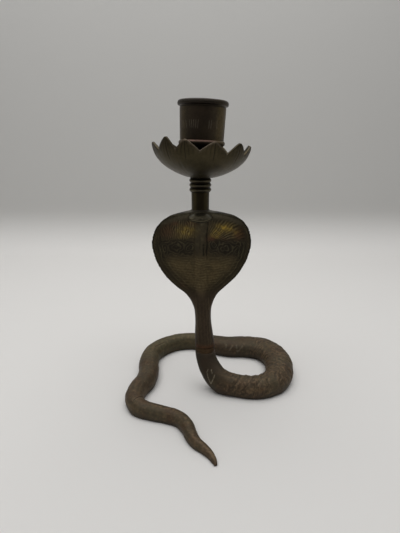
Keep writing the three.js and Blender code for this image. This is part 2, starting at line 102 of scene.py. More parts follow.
class HolderFinish(bpy.types.PropertyGroup):
    """Colours and lamps that a user would change."""
    coil_patina: bpy.props.StringProperty(
        name="Coil patina", description="Brown oxide of the cast coil, sRGB hex", default="#463d2d")
    hood_patina: bpy.props.StringProperty(
        name="Hood patina", description="Dark oxide of the engraved hood, sRGB hex", default="#393226")
    post_patina: bpy.props.StringProperty(
        name="Post patina", description="Dark oxide of the turned post, sRGB hex", default="#3a3321")
    pan_patina: bpy.props.StringProperty(
        name="Pan patina", description="Dark oxide of the sheet pan, sRGB hex", default="#393323")
    cup_patina: bpy.props.StringProperty(
        name="Cup patina", description="Smoked oxide of the candle cup, sRGB hex", default="#3d3529")
    # Colour of the painted reflection of the bright floor, high on the hood
    painted_gold_reflection: bpy.props.StringProperty(
        name="Gold sheen", description="Brass under almost no oxide, sRGB hex", default="#967d37")
    braze: bpy.props.StringProperty(
        name="Brazing metal", description="Coppery brazing metal, sRGB hex", default="#463624")
    # Also the colour of the painted highlight on the pan's cut edges
    worn: bpy.props.StringProperty(
        name="Worn edge", description="Edges rubbed bare by handling, sRGB hex", default="#7d7060")
    floor: bpy.props.StringProperty(
        name="Floor", description="Pale paper that the holder stands on, sRGB hex", default="#e2e0dd")
    wall: bpy.props.StringProperty(
        name="Wall", description="Paper where it rises behind the holder, sRGB hex", default="#c8c7c4")
    lamp_power: bpy.props.FloatProperty(
        name="Lamp power", description="Strength of the overhead soft box", default=4.0, unit="POWER")
    sky_low: bpy.props.FloatProperty(
        name="Horizon light", description="Strength of the room's light from the sides", default=0.17)
    sky_high: bpy.props.FloatProperty(
        name="Ceiling light", description="Strength of the room's light from above", default=0.5)


class HolderSizes(bpy.types.PropertyGroup):
    """Sizes that a user would change."""
    candle_bore: bpy.props.FloatProperty(
        name="Candle bore", description="Width of the cup's bore", default=22.6 * MM, unit="LENGTH")
    cup_wall: bpy.props.FloatProperty(
        name="Cup wall", description="Thickness of the cup at its rim", default=1.65 * MM, unit="LENGTH")
    thread_pitch: bpy.props.FloatProperty(
        name="Thread pitch", description="Rise of the cup's screw in one turn",
        default=1.25 * MM, unit="LENGTH")
    camera_distance: bpy.props.FloatProperty(
        name="Camera distance", description="From the camera to the post, along the floor",
        default=0.237, unit="LENGTH")
    camera_height: bpy.props.FloatProperty(
        name="Camera height", description="Above the floor", default=0.152, unit="LENGTH")
    camera_pitch: bpy.props.FloatProperty(
        name="Camera pitch", description="How far the camera looks down",
        default=math.radians(16.24), subtype="ANGLE")
    camera_lens: bpy.props.FloatProperty(
        name="Lens", description="Focal length on a 36 mm long side", default=27.02, unit="CAMERA")
    backdrop_distance: bpy.props.FloatProperty(
        name="Backdrop distance", description="From the post to where the paper starts to rise",
        default=0.33, unit="LENGTH")


def finish_of():
    return bpy.context.scene.holder_finish


def sizes_of():
    return bpy.context.scene.holder_sizes


def aged_brass(name, patina, thin, roughness, layers=(), mottle=0.6, grain_mm=0.35, metal=0.7,
               speck_mm=1.4, blotchy=0.2):
    """Brass under an oxide skin. Layers are an attribute of the piece, its sRGB hex and its strength."""
    material = bpy.data.materials.new(name)
    material.use_nodes = True
    tree = material.node_tree
    tree.nodes.clear()
    make = partial(node, tree)
    place = make("ShaderNodeTexCoord", output="Object")
    # Oxide gathers in clouds about 10 mm across, with specks of 1 to 2 mm and a cast grain under them
    cloud, speck, grain = (
        make("ShaderNodeTexNoise",
             {"Vector": place, "Scale": 1 / (size * MM), "Detail": detail, "Roughness": broken})
        for size, detail, broken in ((10, 5.0, 0.65), (speck_mm, 4.0, 0.6), (grain_mm, 3.0, 0.6)))
    shown = make("ShaderNodeMapRange",
                 {"Value": cloud, "From Min": 0.38, "From Max": 0.68, "To Max": mottle})
    colour = make("ShaderNodeMix", {"Factor": shown, "A": linear(patina), "B": linear(thin)},
                  data_type="RGBA")
    specks = {"Value": speck, "From Min": 0.3, "From Max": 0.7}
    for attribute, hex_colour, strength in layers:
        field = make("ShaderNodeAttribute", attribute_name=attribute, output="Fac")
        patchy = make("ShaderNodeMapRange", {**specks, "To Min": strength * 0.65, "To Max": strength})
        factor = make("MULTIPLY", field, patchy, use_clamp=True)
        colour = make("ShaderNodeMix", {"Factor": factor, "A": colour, "B": linear(hex_colour)},
                      data_type="RGBA")
    shade = make("ShaderNodeMapRange", {**specks, "To Min": 1 - blotchy, "To Max": 1 + blotchy})
    colour = make("ShaderNodeVectorMath", {0: colour, "Scale": shade}, operation="SCALE")
    rough = make("ShaderNodeMapRange", {**specks, "To Min": roughness - 0.06, "To Max": roughness + 0.08})
    bump = make("ShaderNodeBump", {"Height": grain, "Strength": 0.3, "Distance": 0.06 * MM})
    shader = make("ShaderNodeBsdfPrincipled",
                  {"Base Color": colour, "Metallic": metal, "Roughness": rough, "Normal": bump})
    make("ShaderNodeOutputMaterial", {"Surface": shader})
    return material


# Meshes

def new_piece(name, mesh):
    piece = bpy.data.objects.new(name, mesh)
    bpy.context.scene.collection.objects.link(piece)
    return piece


def place_piece(piece, body, slot, *replaced):
    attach(piece, body)
    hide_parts(*replaced)


def applied(piece):
    """The piece with its modifiers worked into its mesh."""
    graph = bpy.context.evaluated_depsgraph_get()
    mesh = bpy.data.meshes.new_from_object(
        piece.evaluated_get(graph), preserve_all_data_layers=True, depsgraph=graph)
    mesh.name = piece.name
    piece.modifiers.clear()
    piece.data = mesh
    return piece


def values_of(items, key="value", width=1, kind=np.float32):
    """One value of each of a mesh's items, as rows where it has more than one number."""
    values = np.empty(len(items) * width, dtype=kind)
    items.foreach_get(key, values)
    return values.reshape(-1, width) if width > 1 else values


def points_of(mesh):
    return values_of(mesh.vertices, "co", 3).astype(float)


def normals_of(mesh):
    return values_of(mesh.vertex_normals, "vector", 3).astype(float)


def edges_of(mesh):
    return values_of(mesh.edges, "vertices", 2, np.int32)


def move_points(mesh, points):
    mesh.vertices.foreach_set("co", points.astype(np.float32).ravel())
    mesh.update()


def store(mesh, name, values):
    field = mesh.attributes.get(name) or mesh.attributes.new(name, "FLOAT", "POINT")
    field.data.foreach_set("value", np.asarray(values, dtype=np.float32))


def ramp(value, low, high):
    """Smooth step from 0 at low to 1 at high; it falls where low is above high."""
    share = np.clip((value - low) / (high - low), 0, 1)
    return share * share * (3 - 2 * share)


def stroke(distance, width):
    """1 in the middle of a line and 0 half its width away."""
    return ramp(np.abs(distance), width / 2, 0)


def nearest(points, route):
    """Index of the route's point that is nearest to each point."""
    found = np.empty(len(points), dtype=int)
    chunk = 4096
    for start in range(0, len(points), chunk):
        part = points[start:start + chunk, None]
        found[start:start + chunk] = ((part - route[None]) ** 2).sum(axis=2).argmin(axis=1)
    return found


def neighbour_mean(points, edges):
    ends = np.concatenate([edges, edges[:, ::-1]])
    count = len(points)
    degree = np.maximum(np.bincount(ends[:, 0], minlength=count), 1)
    sums = [np.bincount(ends[:, 0], weights=points[ends[:, 1], axis], minlength=count) for axis in range(3)]
    return np.stack(sums, axis=1) / degree[:, None]


def relaxed(points, edges, rounds):
    """Evens out small facets without shrinking the form."""
    for step in rounds * (0.5, -0.53):
        points = points + step * (neighbour_mean(points, edges) - points)
    return points


def quad_copy(cad_node, name, creased):
    """A copy of a solid's mesh, merged, with its triangles paired, and creased where asked."""
    mesh = frame["nodes"][cad_node].data.copy()
    mesh.name = name
    work = bmesh.new()
    work.from_mesh(mesh)
    bmesh.ops.remove_doubles(work, verts=work.verts, dist=1e-6)
    bmesh.ops.join_triangles(work, faces=work.faces, angle_face_threshold=math.radians(35),
                             angle_shape_threshold=math.radians(60))
    crease = work.edges.layers.float.new("crease_edge")
    for edge in work.edges:
        edge[crease] = 1.0 if creased(edge) else 0.0
    work.to_mesh(mesh)
    work.free()
    mesh.materials.clear()
    return mesh


def subdivided(piece, levels):
    """The piece as a smooth surface that passes through its own corners."""
    smoothing = piece.modifiers.new("smooth", "SUBSURF")
    smoothing.levels = smoothing.render_levels = 1
    wanted = points_of(piece.data)
    control = wanted.copy()
    # Subdivision draws a form in, so its corners are moved out until the surface reaches them again
    for _ in range(4):
        graph = bpy.context.evaluated_depsgraph_get()
        reached = points_of(piece.evaluated_get(graph).data)[:len(wanted)]
        control += wanted - reached
        move_points(piece.data, control)
    smoothing.levels = smoothing.render_levels = levels
    return applied(piece)


def fine_form(cad_node, joint_height):
    """The solid's form as a fine smooth surface, crisp only round its flat joint face."""
    def creased(edge):
        return all(abs(vertex.co.z - joint_height) < 1e-5 for vertex in edge.verts)
    return subdivided(new_piece(f"{cad_node}_form", quad_copy(cad_node, f"{cad_node}_form", creased)), 3)


def cast_skin(cad_node, name, joint_height, voxel, finer=None):
    """An even skin of small quads on the solid's form, split finer where asked, ready for chasing."""
    form = fine_form(cad_node, joint_height)
    piece = new_piece(name, form.data.copy())
    remesh = piece.modifiers.new("skin", "REMESH")
    remesh.mode = "VOXEL"
    remesh.voxel_size = voxel
    applied(piece)
    if finer:
        work = bmesh.new()
        work.from_mesh(piece.data)
        edges = {edge for face in work.faces if finer(face) for edge in face.edges}
        bmesh.ops.subdivide_edges(work, edges=list(edges), cuts=1, use_grid_fill=True)
        work.to_mesh(piece.data)
        work.free()
    wrap = piece.modifiers.new("fit", "SHRINKWRAP")
    wrap.target = form
    wrap.wrap_method = "NEAREST_SURFACEPOINT"
    applied(piece)
    bpy.data.objects.remove(form)
    mesh = piece.data
    move_points(mesh, relaxed(points_of(mesh), edges_of(mesh), 5))
    mesh.shade_smooth()
    return piece


def height_of(cad_node, end):
    """Lowest (0) or highest (1) point of a solid."""
    heights = points_of(frame["nodes"][cad_node].data)[:, 2]
    return float(heights.min() if end == 0 else heights.max())


def on_post(height):
    """A place on the post's axis."""
    return Vector((screw_point.x, screw_point.y, height))


# Node trees

def new_tree(name, inputs):
    """A Geometry Nodes tree with named inputs."""
    tree = bpy.data.node_groups.new(name, "GeometryNodeTree")
    tree.interface.new_socket("Geometry", in_out="INPUT", socket_type="NodeSocketGeometry")
    for label, kind in inputs.items():
        tree.interface.new_socket(label, in_out="INPUT", socket_type="NodeSocket" + kind)
    tree.interface.new_socket("Geometry", in_out="OUTPUT", socket_type="NodeSocketGeometry")
    return tree


def closed_tree(tree, shape, finish):
    """The tree with its end: instances made real, then the material."""
    shape = node(tree, "GeometryNodeRealizeInstances", {"Geometry": shape})
    shape = node(tree, "GeometryNodeSetMaterial", {"Geometry": shape, "Material": finish})
    node(tree, "NodeGroupOutput", {"Geometry": shape})
    return tree


def worked(piece, tree, values):
    """The piece after a Geometry Nodes tree, as a plain mesh."""
    modifier = piece.modifiers.new(tree.name, "NODES")
    modifier.node_group = tree
    names = {item.name: item.identifier for item in tree.interface.items_tree if item.in_out == "INPUT"}
    for label, value in values.items():
        modifier[names[label]] = value
    return applied(piece)


# Turned pieces

# Marks along a turned profile, with their value off the mark: where the thread is, how far up the
# band of strokes a point lies, where the bore follows the leaning screw, and where a highlight or a shadow
# is painted
MARKS = {"thread": 0.0, "band": -1.0, "slant": 0.0, "shine": 0.0, "shadow": 0.0}
# Stretches round the cup that the engraver left bare: middle and half width, as shares of a turn
BARE_STRETCHES = ((0.757, 0.033), (0.915, 0.048))


def lathe_tree():
    """Turns a profile round its axis, cuts the thread and the band of strokes, and sets it in place.

    The profile is a row of points, with the radius in X, the height in Z and the marks as attributes.
    """
    tree = new_tree("lathe", {
        "Sides": "Int", "Stretch": "Vector", "Place": "Vector", "Lean": "Float",
        "Thread pitch": "Float", "Thread depth": "Float",
        "Strokes": "Int", "Stroke width": "Float", "Stroke depth": "Float", "Stroke seed": "Int",
        "Filed height": "Float", "Filed slope": "Float", "Finish": "Material"})
    make = partial(node, tree)
    given = make("NodeGroupInput").node.outputs
    profile = given["Geometry"]
    count = make("GeometryNodeAttributeDomainSize", {"Geometry": profile}, output="Point Count")
    grid = make("GeometryNodeMeshGrid", {"Size X": 1.0, "Size Y": 1.0, "Vertices Y": count,
                                         "Vertices X": make("ADD", given["Sides"], 1.0)})
    position = make("GeometryNodeInputPosition")
    spot = make("ShaderNodeSeparateXYZ", position).node.outputs
    share = make("ADD", spot["X"], 0.5)
    angle = make("MULTIPLY", share, math.tau)
    cosine, sine = make("COSINE", angle), make("SINE", angle)
    row = make("MULTIPLY", make("ADD", spot["Y"], 0.5), make("SUBTRACT", count, 1.0))
    row = make("ROUND", row)
    mark = {}
    for name in MARKS:
        field = make("GeometryNodeInputNamedAttribute", {"Name": name}, data_type="FLOAT")
        mark[name] = make("GeometryNodeSampleIndex", {"Geometry": profile, "Value": field, "Index": row},
                          data_type="FLOAT", domain="POINT")
    corner = make("GeometryNodeSampleIndex", {"Geometry": profile, "Value": position, "Index": row},
                  data_type="FLOAT_VECTOR", domain="POINT")
    corner = make("ShaderNodeSeparateXYZ", corner).node.outputs
    radius, height = corner["X"], corner["Z"]

    # Right-handed thread: its crest rises by the pitch in one turn
    phase = make("SUBTRACT", make("DIVIDE", height, given["Thread pitch"]), share)
    cut = make("MULTIPLY", make("PINGPONG", phase, 0.5), given["Thread depth"])
    cut = make("MULTIPLY", make("MULTIPLY", cut, 2.0), mark["thread"])
    radius = make("SUBTRACT", radius, cut)

    # Band of engraved strokes, fanned out on one side and upright on the other, with some left out
    cells = make("MULTIPLY", share, given["Strokes"])
    cell = make("FLOOR", cells)
    fan = make("SINE", make("MULTIPLY_ADD", angle, 3.0, -0.5))
    fanned = make("ShaderNodeMapRange",
                  {"Value": cosine, "From Min": 0.0, "From Max": -0.5, "To Min": 0.1, "To Max": 0.9})
    up = make("SUBTRACT", mark["band"], 0.5)
    middle = make("MULTIPLY_ADD", make("MULTIPLY", fan, fanned), up, 0.5)
    off = make("ABSOLUTE", make("SUBTRACT", make("SUBTRACT", cells, cell), middle))
    line = make("ShaderNodeMapRange", {"Value": off, "From Min": given["Stroke width"], "From Max": 0.0},
                interpolation_type="SMOOTHSTEP")
    luck = make("FunctionNodeRandomValue", {"ID": cell, "Seed": given["Stroke seed"]}, data_type="FLOAT")
    struck = make("GREATER_THAN", luck, 0.2)
    for stretch_middle, half_width in BARE_STRETCHES:
        bare = make("COMPARE", share, stretch_middle, half_width)
        struck = make("SUBTRACT", struck, bare, use_clamp=True)
    line = make("MULTIPLY", make("MULTIPLY", line, struck), make("GREATER_THAN", mark["band"], -0.01))
    radius = make("SUBTRACT", radius, make("MULTIPLY", line, given["Stroke depth"]))

    # Round the axis, with the bore following the screw, and the top filed off along the lean
    slide = make("MULTIPLY", make("SUBTRACT", height, given["Filed height"]), given["Filed slope"])
    x = make("ADD", make("MULTIPLY", radius, cosine), make("MULTIPLY", slide, mark["slant"]))
    filed = make("SUBTRACT", given["Filed height"], make("MULTIPLY", x, given["Filed slope"]))
    spun = make("ShaderNodeCombineXYZ", x, make("MULTIPLY", radius, sine), make("MINIMUM", height, filed))
    spun = make("ShaderNodeVectorMath", spun, given["Stretch"], operation="MULTIPLY")
    for name, value in (("strokes", line), ("shine", mark["shine"]), ("shadow", mark["shadow"])):
        grid = make("GeometryNodeStoreNamedAttribute", {"Geometry": grid, "Name": name, "Value": value},
                    data_type="FLOAT", domain="POINT")
    shape = make("GeometryNodeSetPosition", {"Geometry": grid, "Position": spun})
    shape = make("GeometryNodeMergeByDistance", {"Geometry": shape, "Distance": 0.002 * MM})
    tipped = make("ShaderNodeCombineXYZ", {"Y": given["Lean"]})
    turn = make("FunctionNodeEulerToRotation", {"Euler": tipped})
    shape = make("GeometryNodeTransform",
                 {"Geometry": shape, "Translation": given["Place"], "Rotation": turn})
    return closed_tree(tree, shape, given["Finish"])


def eased(points, radius, steps=3):
    """A profile in millimetres with every corner rounded by a small radius."""
    points = [np.array(point, dtype=float) for point in points]
    result = [points[0]]
    for before, corner, after in zip(points, points[1:], points[2:]):
        first, second = corner - before, after - corner
        lengths = np.linalg.norm(first), np.linalg.norm(second)
        turn = abs(math.atan2(first[0] * second[1] - first[1] * second[0], float(first @ second)))
        if turn < math.radians(12) or corner[0] <= 0:
            result.append(corner)
            continue
        reach = min(radius, 0.45 * min(lengths))
        start, end = corner - first / lengths[0] * reach, corner + second / lengths[1] * reach
        for i in range(steps + 1):
            share = i / steps
            result.append((1 - share) ** 2 * start + 2 * share * (1 - share) * corner + share ** 2 * end)
    return result + [points[-1]]


def filled(points, longest):
    """A profile with points added so that no step is longer than asked, all along or from a point."""
    result = [np.array(points[0], dtype=float)]
    for before, after in zip(points, points[1:]):
        limit = longest(before) if callable(longest) else longest
        pieces = max(1, math.ceil(float(np.linalg.norm(after - before)) / limit - 1e-6))
        result += [before + (after - before) * i / pieces for i in range(1, pieces + 1)]
    return result


def moulding(radius, reach, foot, tall, shares):
    """A stretch of a profile, each of its points given as shares of the reach and of the height."""
    return [(radius + out * reach, foot + up * tall) for out, up in shares]


def turned_piece(name, rows, marks, finish, place, rounding=0.1, step=math.inf, sides=180, tilt=0.0,
                 filed=(1.0, 0.0), stretch=1.0, strokes=(1, 0.0, 0.0, 0)):
    """A piece turned by the lathe tree from a profile, whose rows are radius and height in millimetres.

    Its corners are rounded by the rounding, and no step along it is longer than asked. The strokes are
    their number round the piece, their width as a share of their pitch, their depth and their seed.
    """
    points = filled(eased(rows, rounding), step)
    links = [(i, i + 1) for i in range(len(points) - 1)]
    mesh = bpy.data.meshes.new(name)
    mesh.from_pydata([(x * MM, 0, z * MM) for x, z in points], links, [])
    for label, off in MARKS.items():
        mark = marks.get(label)
        store(mesh, label, [mark(x, z) if mark else off for x, z in points])
    tree = bpy.data.node_groups.get("lathe") or lathe_tree()
    count, width, depth, seed = strokes
    piece = worked(new_piece(name, mesh), tree, {
        "Sides": sides, "Stretch": (1.0, stretch, 1.0), "Place": tuple(place), "Lean": tilt,
        "Thread pitch": sizes_of().thread_pitch, "Thread depth": 0.35 * MM,
        "Strokes": count, "Stroke width": width, "Stroke depth": depth, "Stroke seed": seed,
        "Filed height": filed[0], "Filed slope": filed[1], "Finish": finish})
    piece.data.shade_smooth()
    piece.data.set_sharp_from_angle(angle=math.radians(50))
    return piece


def turn_from_front(piece):
    """How far round the post each of a piece's points lies from the front, in radians."""
    points = points_of(piece.data)
    return np.arctan2(points[:, 1] - screw_point.y, points[:, 0] - screw_point.x) + math.pi / 2


def with_painted_sheens(piece, patches=3):
    """Paints upright dark reflections round a turned piece, one of them in front, with painted sheens
    between them.
    """
    turn = turn_from_front(piece)
    store(piece.data, "painted_dark_reflection", ramp(np.cos(patches * turn), -0.4, 0.7))
    store(piece.data, "painted_side_sheen", ramp(-np.cos(patches * turn), 0.2, 1.0) * (0.65 + 0.35 * np.sin(turn)))
    return piece


class CANDLEHOLDER_OT_stage(bpy.types.Operator):
    """Paper sweep, soft box, room light and camera"""
    bl_idname = "candle_holder.make_stage"
    bl_label = "Stage and camera"

    def execute(self, context):
        sizes, colours, post = sizes_of(), finish_of(), screw_point
        front, half_width, wall_top, bend = -0.9, 1.6, 1.6, 0.06
        rise = post.y + sizes.backdrop_distance
        profile = [(front, 0.0), (rise, 0.0)]
        for turn in (math.radians(9 * i) for i in range(1, 11)):
            profile.append((rise + bend * math.sin(turn), bend * (1 - math.cos(turn))))
        profile.append((rise + bend, wall_top))
        points = [Vector((side * half_width, y, z)) for y, z in profile for side in (-1, 1)]
        faces = [(2 * i, 2 * i + 1, 2 * i + 3, 2 * i + 2) for i in range(len(profile) - 1)]
        mesh = bpy.data.meshes.new("paper_sweep")
        mesh.from_pydata(points, [], faces)
        mesh.shade_smooth()
        # Matt paper: no gloss, and a little darker where it rises behind the holder
        material = bpy.data.materials.new("matt_background_paper")
        material.use_nodes = True
        make = partial(node, material.node_tree)
        shader = material.node_tree.nodes["Principled BSDF"]
        shader.inputs["Roughness"].default_value = 0.9
        place = make("ShaderNodeTexCoord", output="Object")
        level = make("ShaderNodeSeparateXYZ", place, output="Z")
        risen = make("ShaderNodeMapRange", {"Value": level, "From Max": 1.3 * bend},
                     interpolation_type="SMOOTHSTEP")
        low, high = linear(colours.floor), linear(colours.wall)
        paper = make("ShaderNodeMix", {"Factor": risen, "A": low, "B": high}, data_type="RGBA")
        material.node_tree.links.new(paper, shader.inputs["Base Color"])
        mesh.materials.append(material)
        new_piece("paper_sweep", mesh)

        lamp = bpy.data.lights.new("overhead_soft_box", "AREA")
        lamp.shape = "RECTANGLE"
        lamp.size, lamp.size_y = 0.9, 0.7
        lamp.energy = colours.lamp_power
        box = new_piece("overhead_soft_box", lamp)
        box.location = (post.x - 0.05, post.y + 0.05, 0.75)

        world = bpy.data.worlds.new("plain_room")
        context.scene.world = world
        world.use_nodes = True
        make = partial(node, world.node_tree)
        sky = world.node_tree.nodes["Background"]
        sky.inputs["Color"].default_value = (0.985, 0.99, 1.0, 1.0)
        towards = make("ShaderNodeTexCoord", output="Generated")
        towards = make("ShaderNodeSeparateXYZ", towards).node.outputs
        light = make("ShaderNodeMapRange", {"Value": towards["Z"], "From Max": 0.8,
                                            "To Min": colours.sky_low, "To Max": colours.sky_high})
        # The room is dimmer on the side that the snake faces
        dimmer = make("ShaderNodeMapRange",
                      {"Value": towards["Y"], "From Min": -0.95, "From Max": -0.5, "To Min": 0.4},
                      interpolation_type="SMOOTHSTEP")
        world.node_tree.links.new(make("MULTIPLY", light, dimmer), sky.inputs["Strength"])

        camera = bpy.data.cameras.new("photo_camera")
        camera.sensor_width = 36
        camera.lens = sizes.camera_lens
        camera.clip_start = 0.01
        holder = new_piece("photo_camera", camera)
        holder.location = (post.x - SIGHT_OFFSET * MM, post.y - sizes.camera_distance, sizes.camera_height)
        holder.rotation_euler = (math.pi / 2 - sizes.camera_pitch, 0, 0)
        context.scene.camera = holder
        context.scene.view_settings.view_transform = "Standard"
        return {"FINISHED"}


# Middle of the body along the coil from the tail's tip to the heel, for the patterns that follow it
BODY_ROUTE = (
    (7.9, -72.8, 0.7), (7.1, -70.3, 1.2), (5.1, -66.5, 1.6), (1.9, -62.6, 2.0), (-2.2, -58.6, 2.4),
    (-4.9, -53.4, 2.7), (-7.2, -47.0, 3.0), (-11.6, -40.7, 3.2), (-19.6, -36.9, 3.3), (-28.6, -34.0, 3.5),
    (-36.6, -30.0, 3.8), (-40.6, -21.7, 4.0), (-39.8, -12.4, 4.2), (-36.3, -3.2, 4.3), (-35.4, 8.0, 4.4),
    (-36.7, 20.3, 4.6), (-35.5, 34.0, 4.6), (-28.5, 44.8, 4.7), (-17.2, 52.1, 4.7), (-4.0, 53.6, 4.7),
    (9.0, 48.8, 4.8), (22.0, 44.6, 4.9), (36.0, 44.5, 5.0), (48.8, 39.8, 5.0), (55.3, 27.4, 5.0),
    (55.4, 12.0, 5.0), (49.8, -3.2, 5.0), (37.4, -10.8, 5.0), (23.0, -9.2, 5.4), (12.6, -6.8, 8.0),
    (7.0, -3.2, 14.0), (4.1, -0.8, 20.6), (3.3, 0.0, 26.0))

# Cuts in the coil, each from a start to an end. Seen from above: creases across the inside of the two
# left bends, with their strength. Seen from the front: a sharp wedge on the heel, and a row on the
# near side of the back run
BEND_CREASES = ((((-39.5, -30.5), (-34.5, -25.2)), 1.0), (((-33.6, 33.0), (-27.5, 41.0)), 0.5))
HEEL_WEDGE = (((4.4, 15.2), (5.1, 11.6)), ((5.1, 11.6), (6.9, 7.8)), ((9.4, 14.2), (6.9, 7.8)),
              ((5.1, 16.8), (4.9, 15.6)), ((7.2, 16.8), (7.7, 14.9)))
BACK_ROW = (((19.8, 9.8), (19.8, 8.2)), ((24.3, 9.6), (21.8, 6.0)), ((27.5, 9.8), (28.3, 5.6)),
            ((32.0, 9.4), (28.3, 5.6)))


def smooth_route(points, per_step=12):
    """Points of a smooth curve through a row of points."""
    points = np.array(points, dtype=float)
    padded = np.concatenate([[2 * points[0] - points[1]], points, [2 * points[-1] - points[-2]]])
    result = []
    for i in range(len(points) - 1):
        a, b, c, d = padded[i:i + 4]
        for t in np.arange(per_step) / per_step:
            result.append(0.5 * (2 * b + (c - a) * t + (2 * a - 5 * b + 4 * c - d) * t ** 2
                                 + (3 * b - a - 3 * c + d) * t ** 3))
    return np.array(result + [points[-1]])


def along_body(points):
    """How far from the tail's tip each point lies, its share of the way round, and the body's length."""
    route = smooth_route(BODY_ROUTE)
    lengths = np.concatenate([[0], np.cumsum(np.linalg.norm(np.diff(route, axis=0), axis=1))])
    tangents = np.gradient(route, axis=0)
    tangents /= np.linalg.norm(tangents, axis=1)[:, None]
    near = nearest(points, route)
    away, ahead = points - route[near], tangents[near]
    side = np.stack([-ahead[:, 1], ahead[:, 0], np.zeros(len(near))], axis=1)
    side /= np.maximum(np.linalg.norm(side, axis=1), 1e-6)[:, None]
    up = np.cross(ahead, side)
    around = np.arctan2((away * up).sum(axis=1), (away * side).sum(axis=1)) / math.tau
    return lengths[near] + (away * ahead).sum(axis=1), around, lengths[-1]


def cuts(flat, lines, width):
    """Straight strokes in a plane, 1 in the middle of each."""
    result = np.zeros(len(flat))
    for start, end in np.array(lines, dtype=float):
        way = end - start
        share = np.clip(((flat - start) @ way) / (way @ way), 0, 1)
        distance = np.linalg.norm(flat - start - share[:, None] * way, axis=1)
        result = np.maximum(result, stroke(distance, width))
    return result


def chasing_tree():
    """Rows of soft slanting lumps along the body, worn uneven by hand, and streaks of wear.

    The skin's attributes say how far along the body and how far round it a point lies, how strongly
    it is chased, and how free it is from a joint.
    """
    tree = new_tree("chased_scales", {
        "Scale length": "Float", "Scales around": "Int", "Depth": "Float",
        "Lump size": "Float", "Unevenness": "Float", "Finish": "Material"})
    make = partial(node, tree)
    given = make("NodeGroupInput").node.outputs
    along, around, chased, free = (
        make("GeometryNodeInputNamedAttribute", {"Name": name}, data_type="FLOAT")
        for name in ("along", "around", "chased", "free"))
    spot = make("GeometryNodeInputPosition")
    wander, worn, lump = (
        make("ShaderNodeTexNoise", {"Vector": spot, "Scale": scale, "Detail": 2.0})
        for scale in (1 / (8 * MM), 1 / (7 * MM), make("DIVIDE", 1.0, given["Lump size"])))
    rows = make("MULTIPLY_ADD", wander, 2.2, make("DIVIDE", along, given["Scale length"]))
    turns = make("MULTIPLY", around, given["Scales around"])
    main_way, cross_way = (
        make("ABSOLUTE", make("SINE", make("MULTIPLY", make(way, rows, turns), math.pi)))
        for way in ("ADD", "SUBTRACT"))
    # The second way is only a third as deep, so the lumps slant one way
    relief = make("MULTIPLY", main_way, make("MULTIPLY_ADD", cross_way, 0.35, 0.65))
    worn = make("ShaderNodeMapRange", {"Value": worn, "From Min": 0.38, "From Max": 0.58})
    strength = make("MULTIPLY", chased, worn)
    punched = make("MULTIPLY", make("MULTIPLY", make("SUBTRACT", relief, 0.55), strength), given["Depth"])
    lump = make("MULTIPLY", make("MULTIPLY", make("SUBTRACT", lump, 0.5), given["Unevenness"]), free)
    normal = make("GeometryNodeInputNormal", output="Normal")
    offset = make("ShaderNodeVectorMath", {0: normal, "Scale": make("ADD", punched, lump)},
                  operation="SCALE")
    # Wear runs in streaks about 1 mm wide and 15 mm long
    wound = make("MULTIPLY", around, math.tau)
    ring = [make("MULTIPLY", make(way, wound), 5.0) for way in ("COSINE", "SINE")]
    strip = make("ShaderNodeCombineXYZ", make("DIVIDE", along, 15 * MM), *ring)
    streak = make("ShaderNodeTexNoise", {"Vector": strip, "Scale": 1.0, "Detail": 3.0})
    streak = make("ShaderNodeMapRange", {"Value": streak, "From Min": 0.5, "From Max": 0.72})
    low = make("MULTIPLY", make("SUBTRACT", 1.0, relief), strength)
    shape = given["Geometry"]
    for name, value in (("valley", low), ("streak", make("MULTIPLY", streak, free))):
        shape = make("GeometryNodeStoreNamedAttribute", {"Geometry": shape, "Name": name, "Value": value},
                     data_type="FLOAT", domain="POINT")
    shape = make("GeometryNodeSetPosition", {"Geometry": shape, "Offset": offset})
    return closed_tree(tree, shape, given["Finish"])


def wobble(across, up, size, turn):
    """A smooth uneven field from about -1 to 1, with features of about the size given."""
    pace = math.tau / size
    field = np.sin(pace * (0.31 * across + 0.83 * up) + turn)
    field += np.sin(pace * (0.77 * across - 0.42 * up) + 2.1 * turn + 1.3)
    field += 0.7 * np.sin(pace * (1.31 * across + 1.07 * up) + 3.7 * turn)
    return field / 2.2


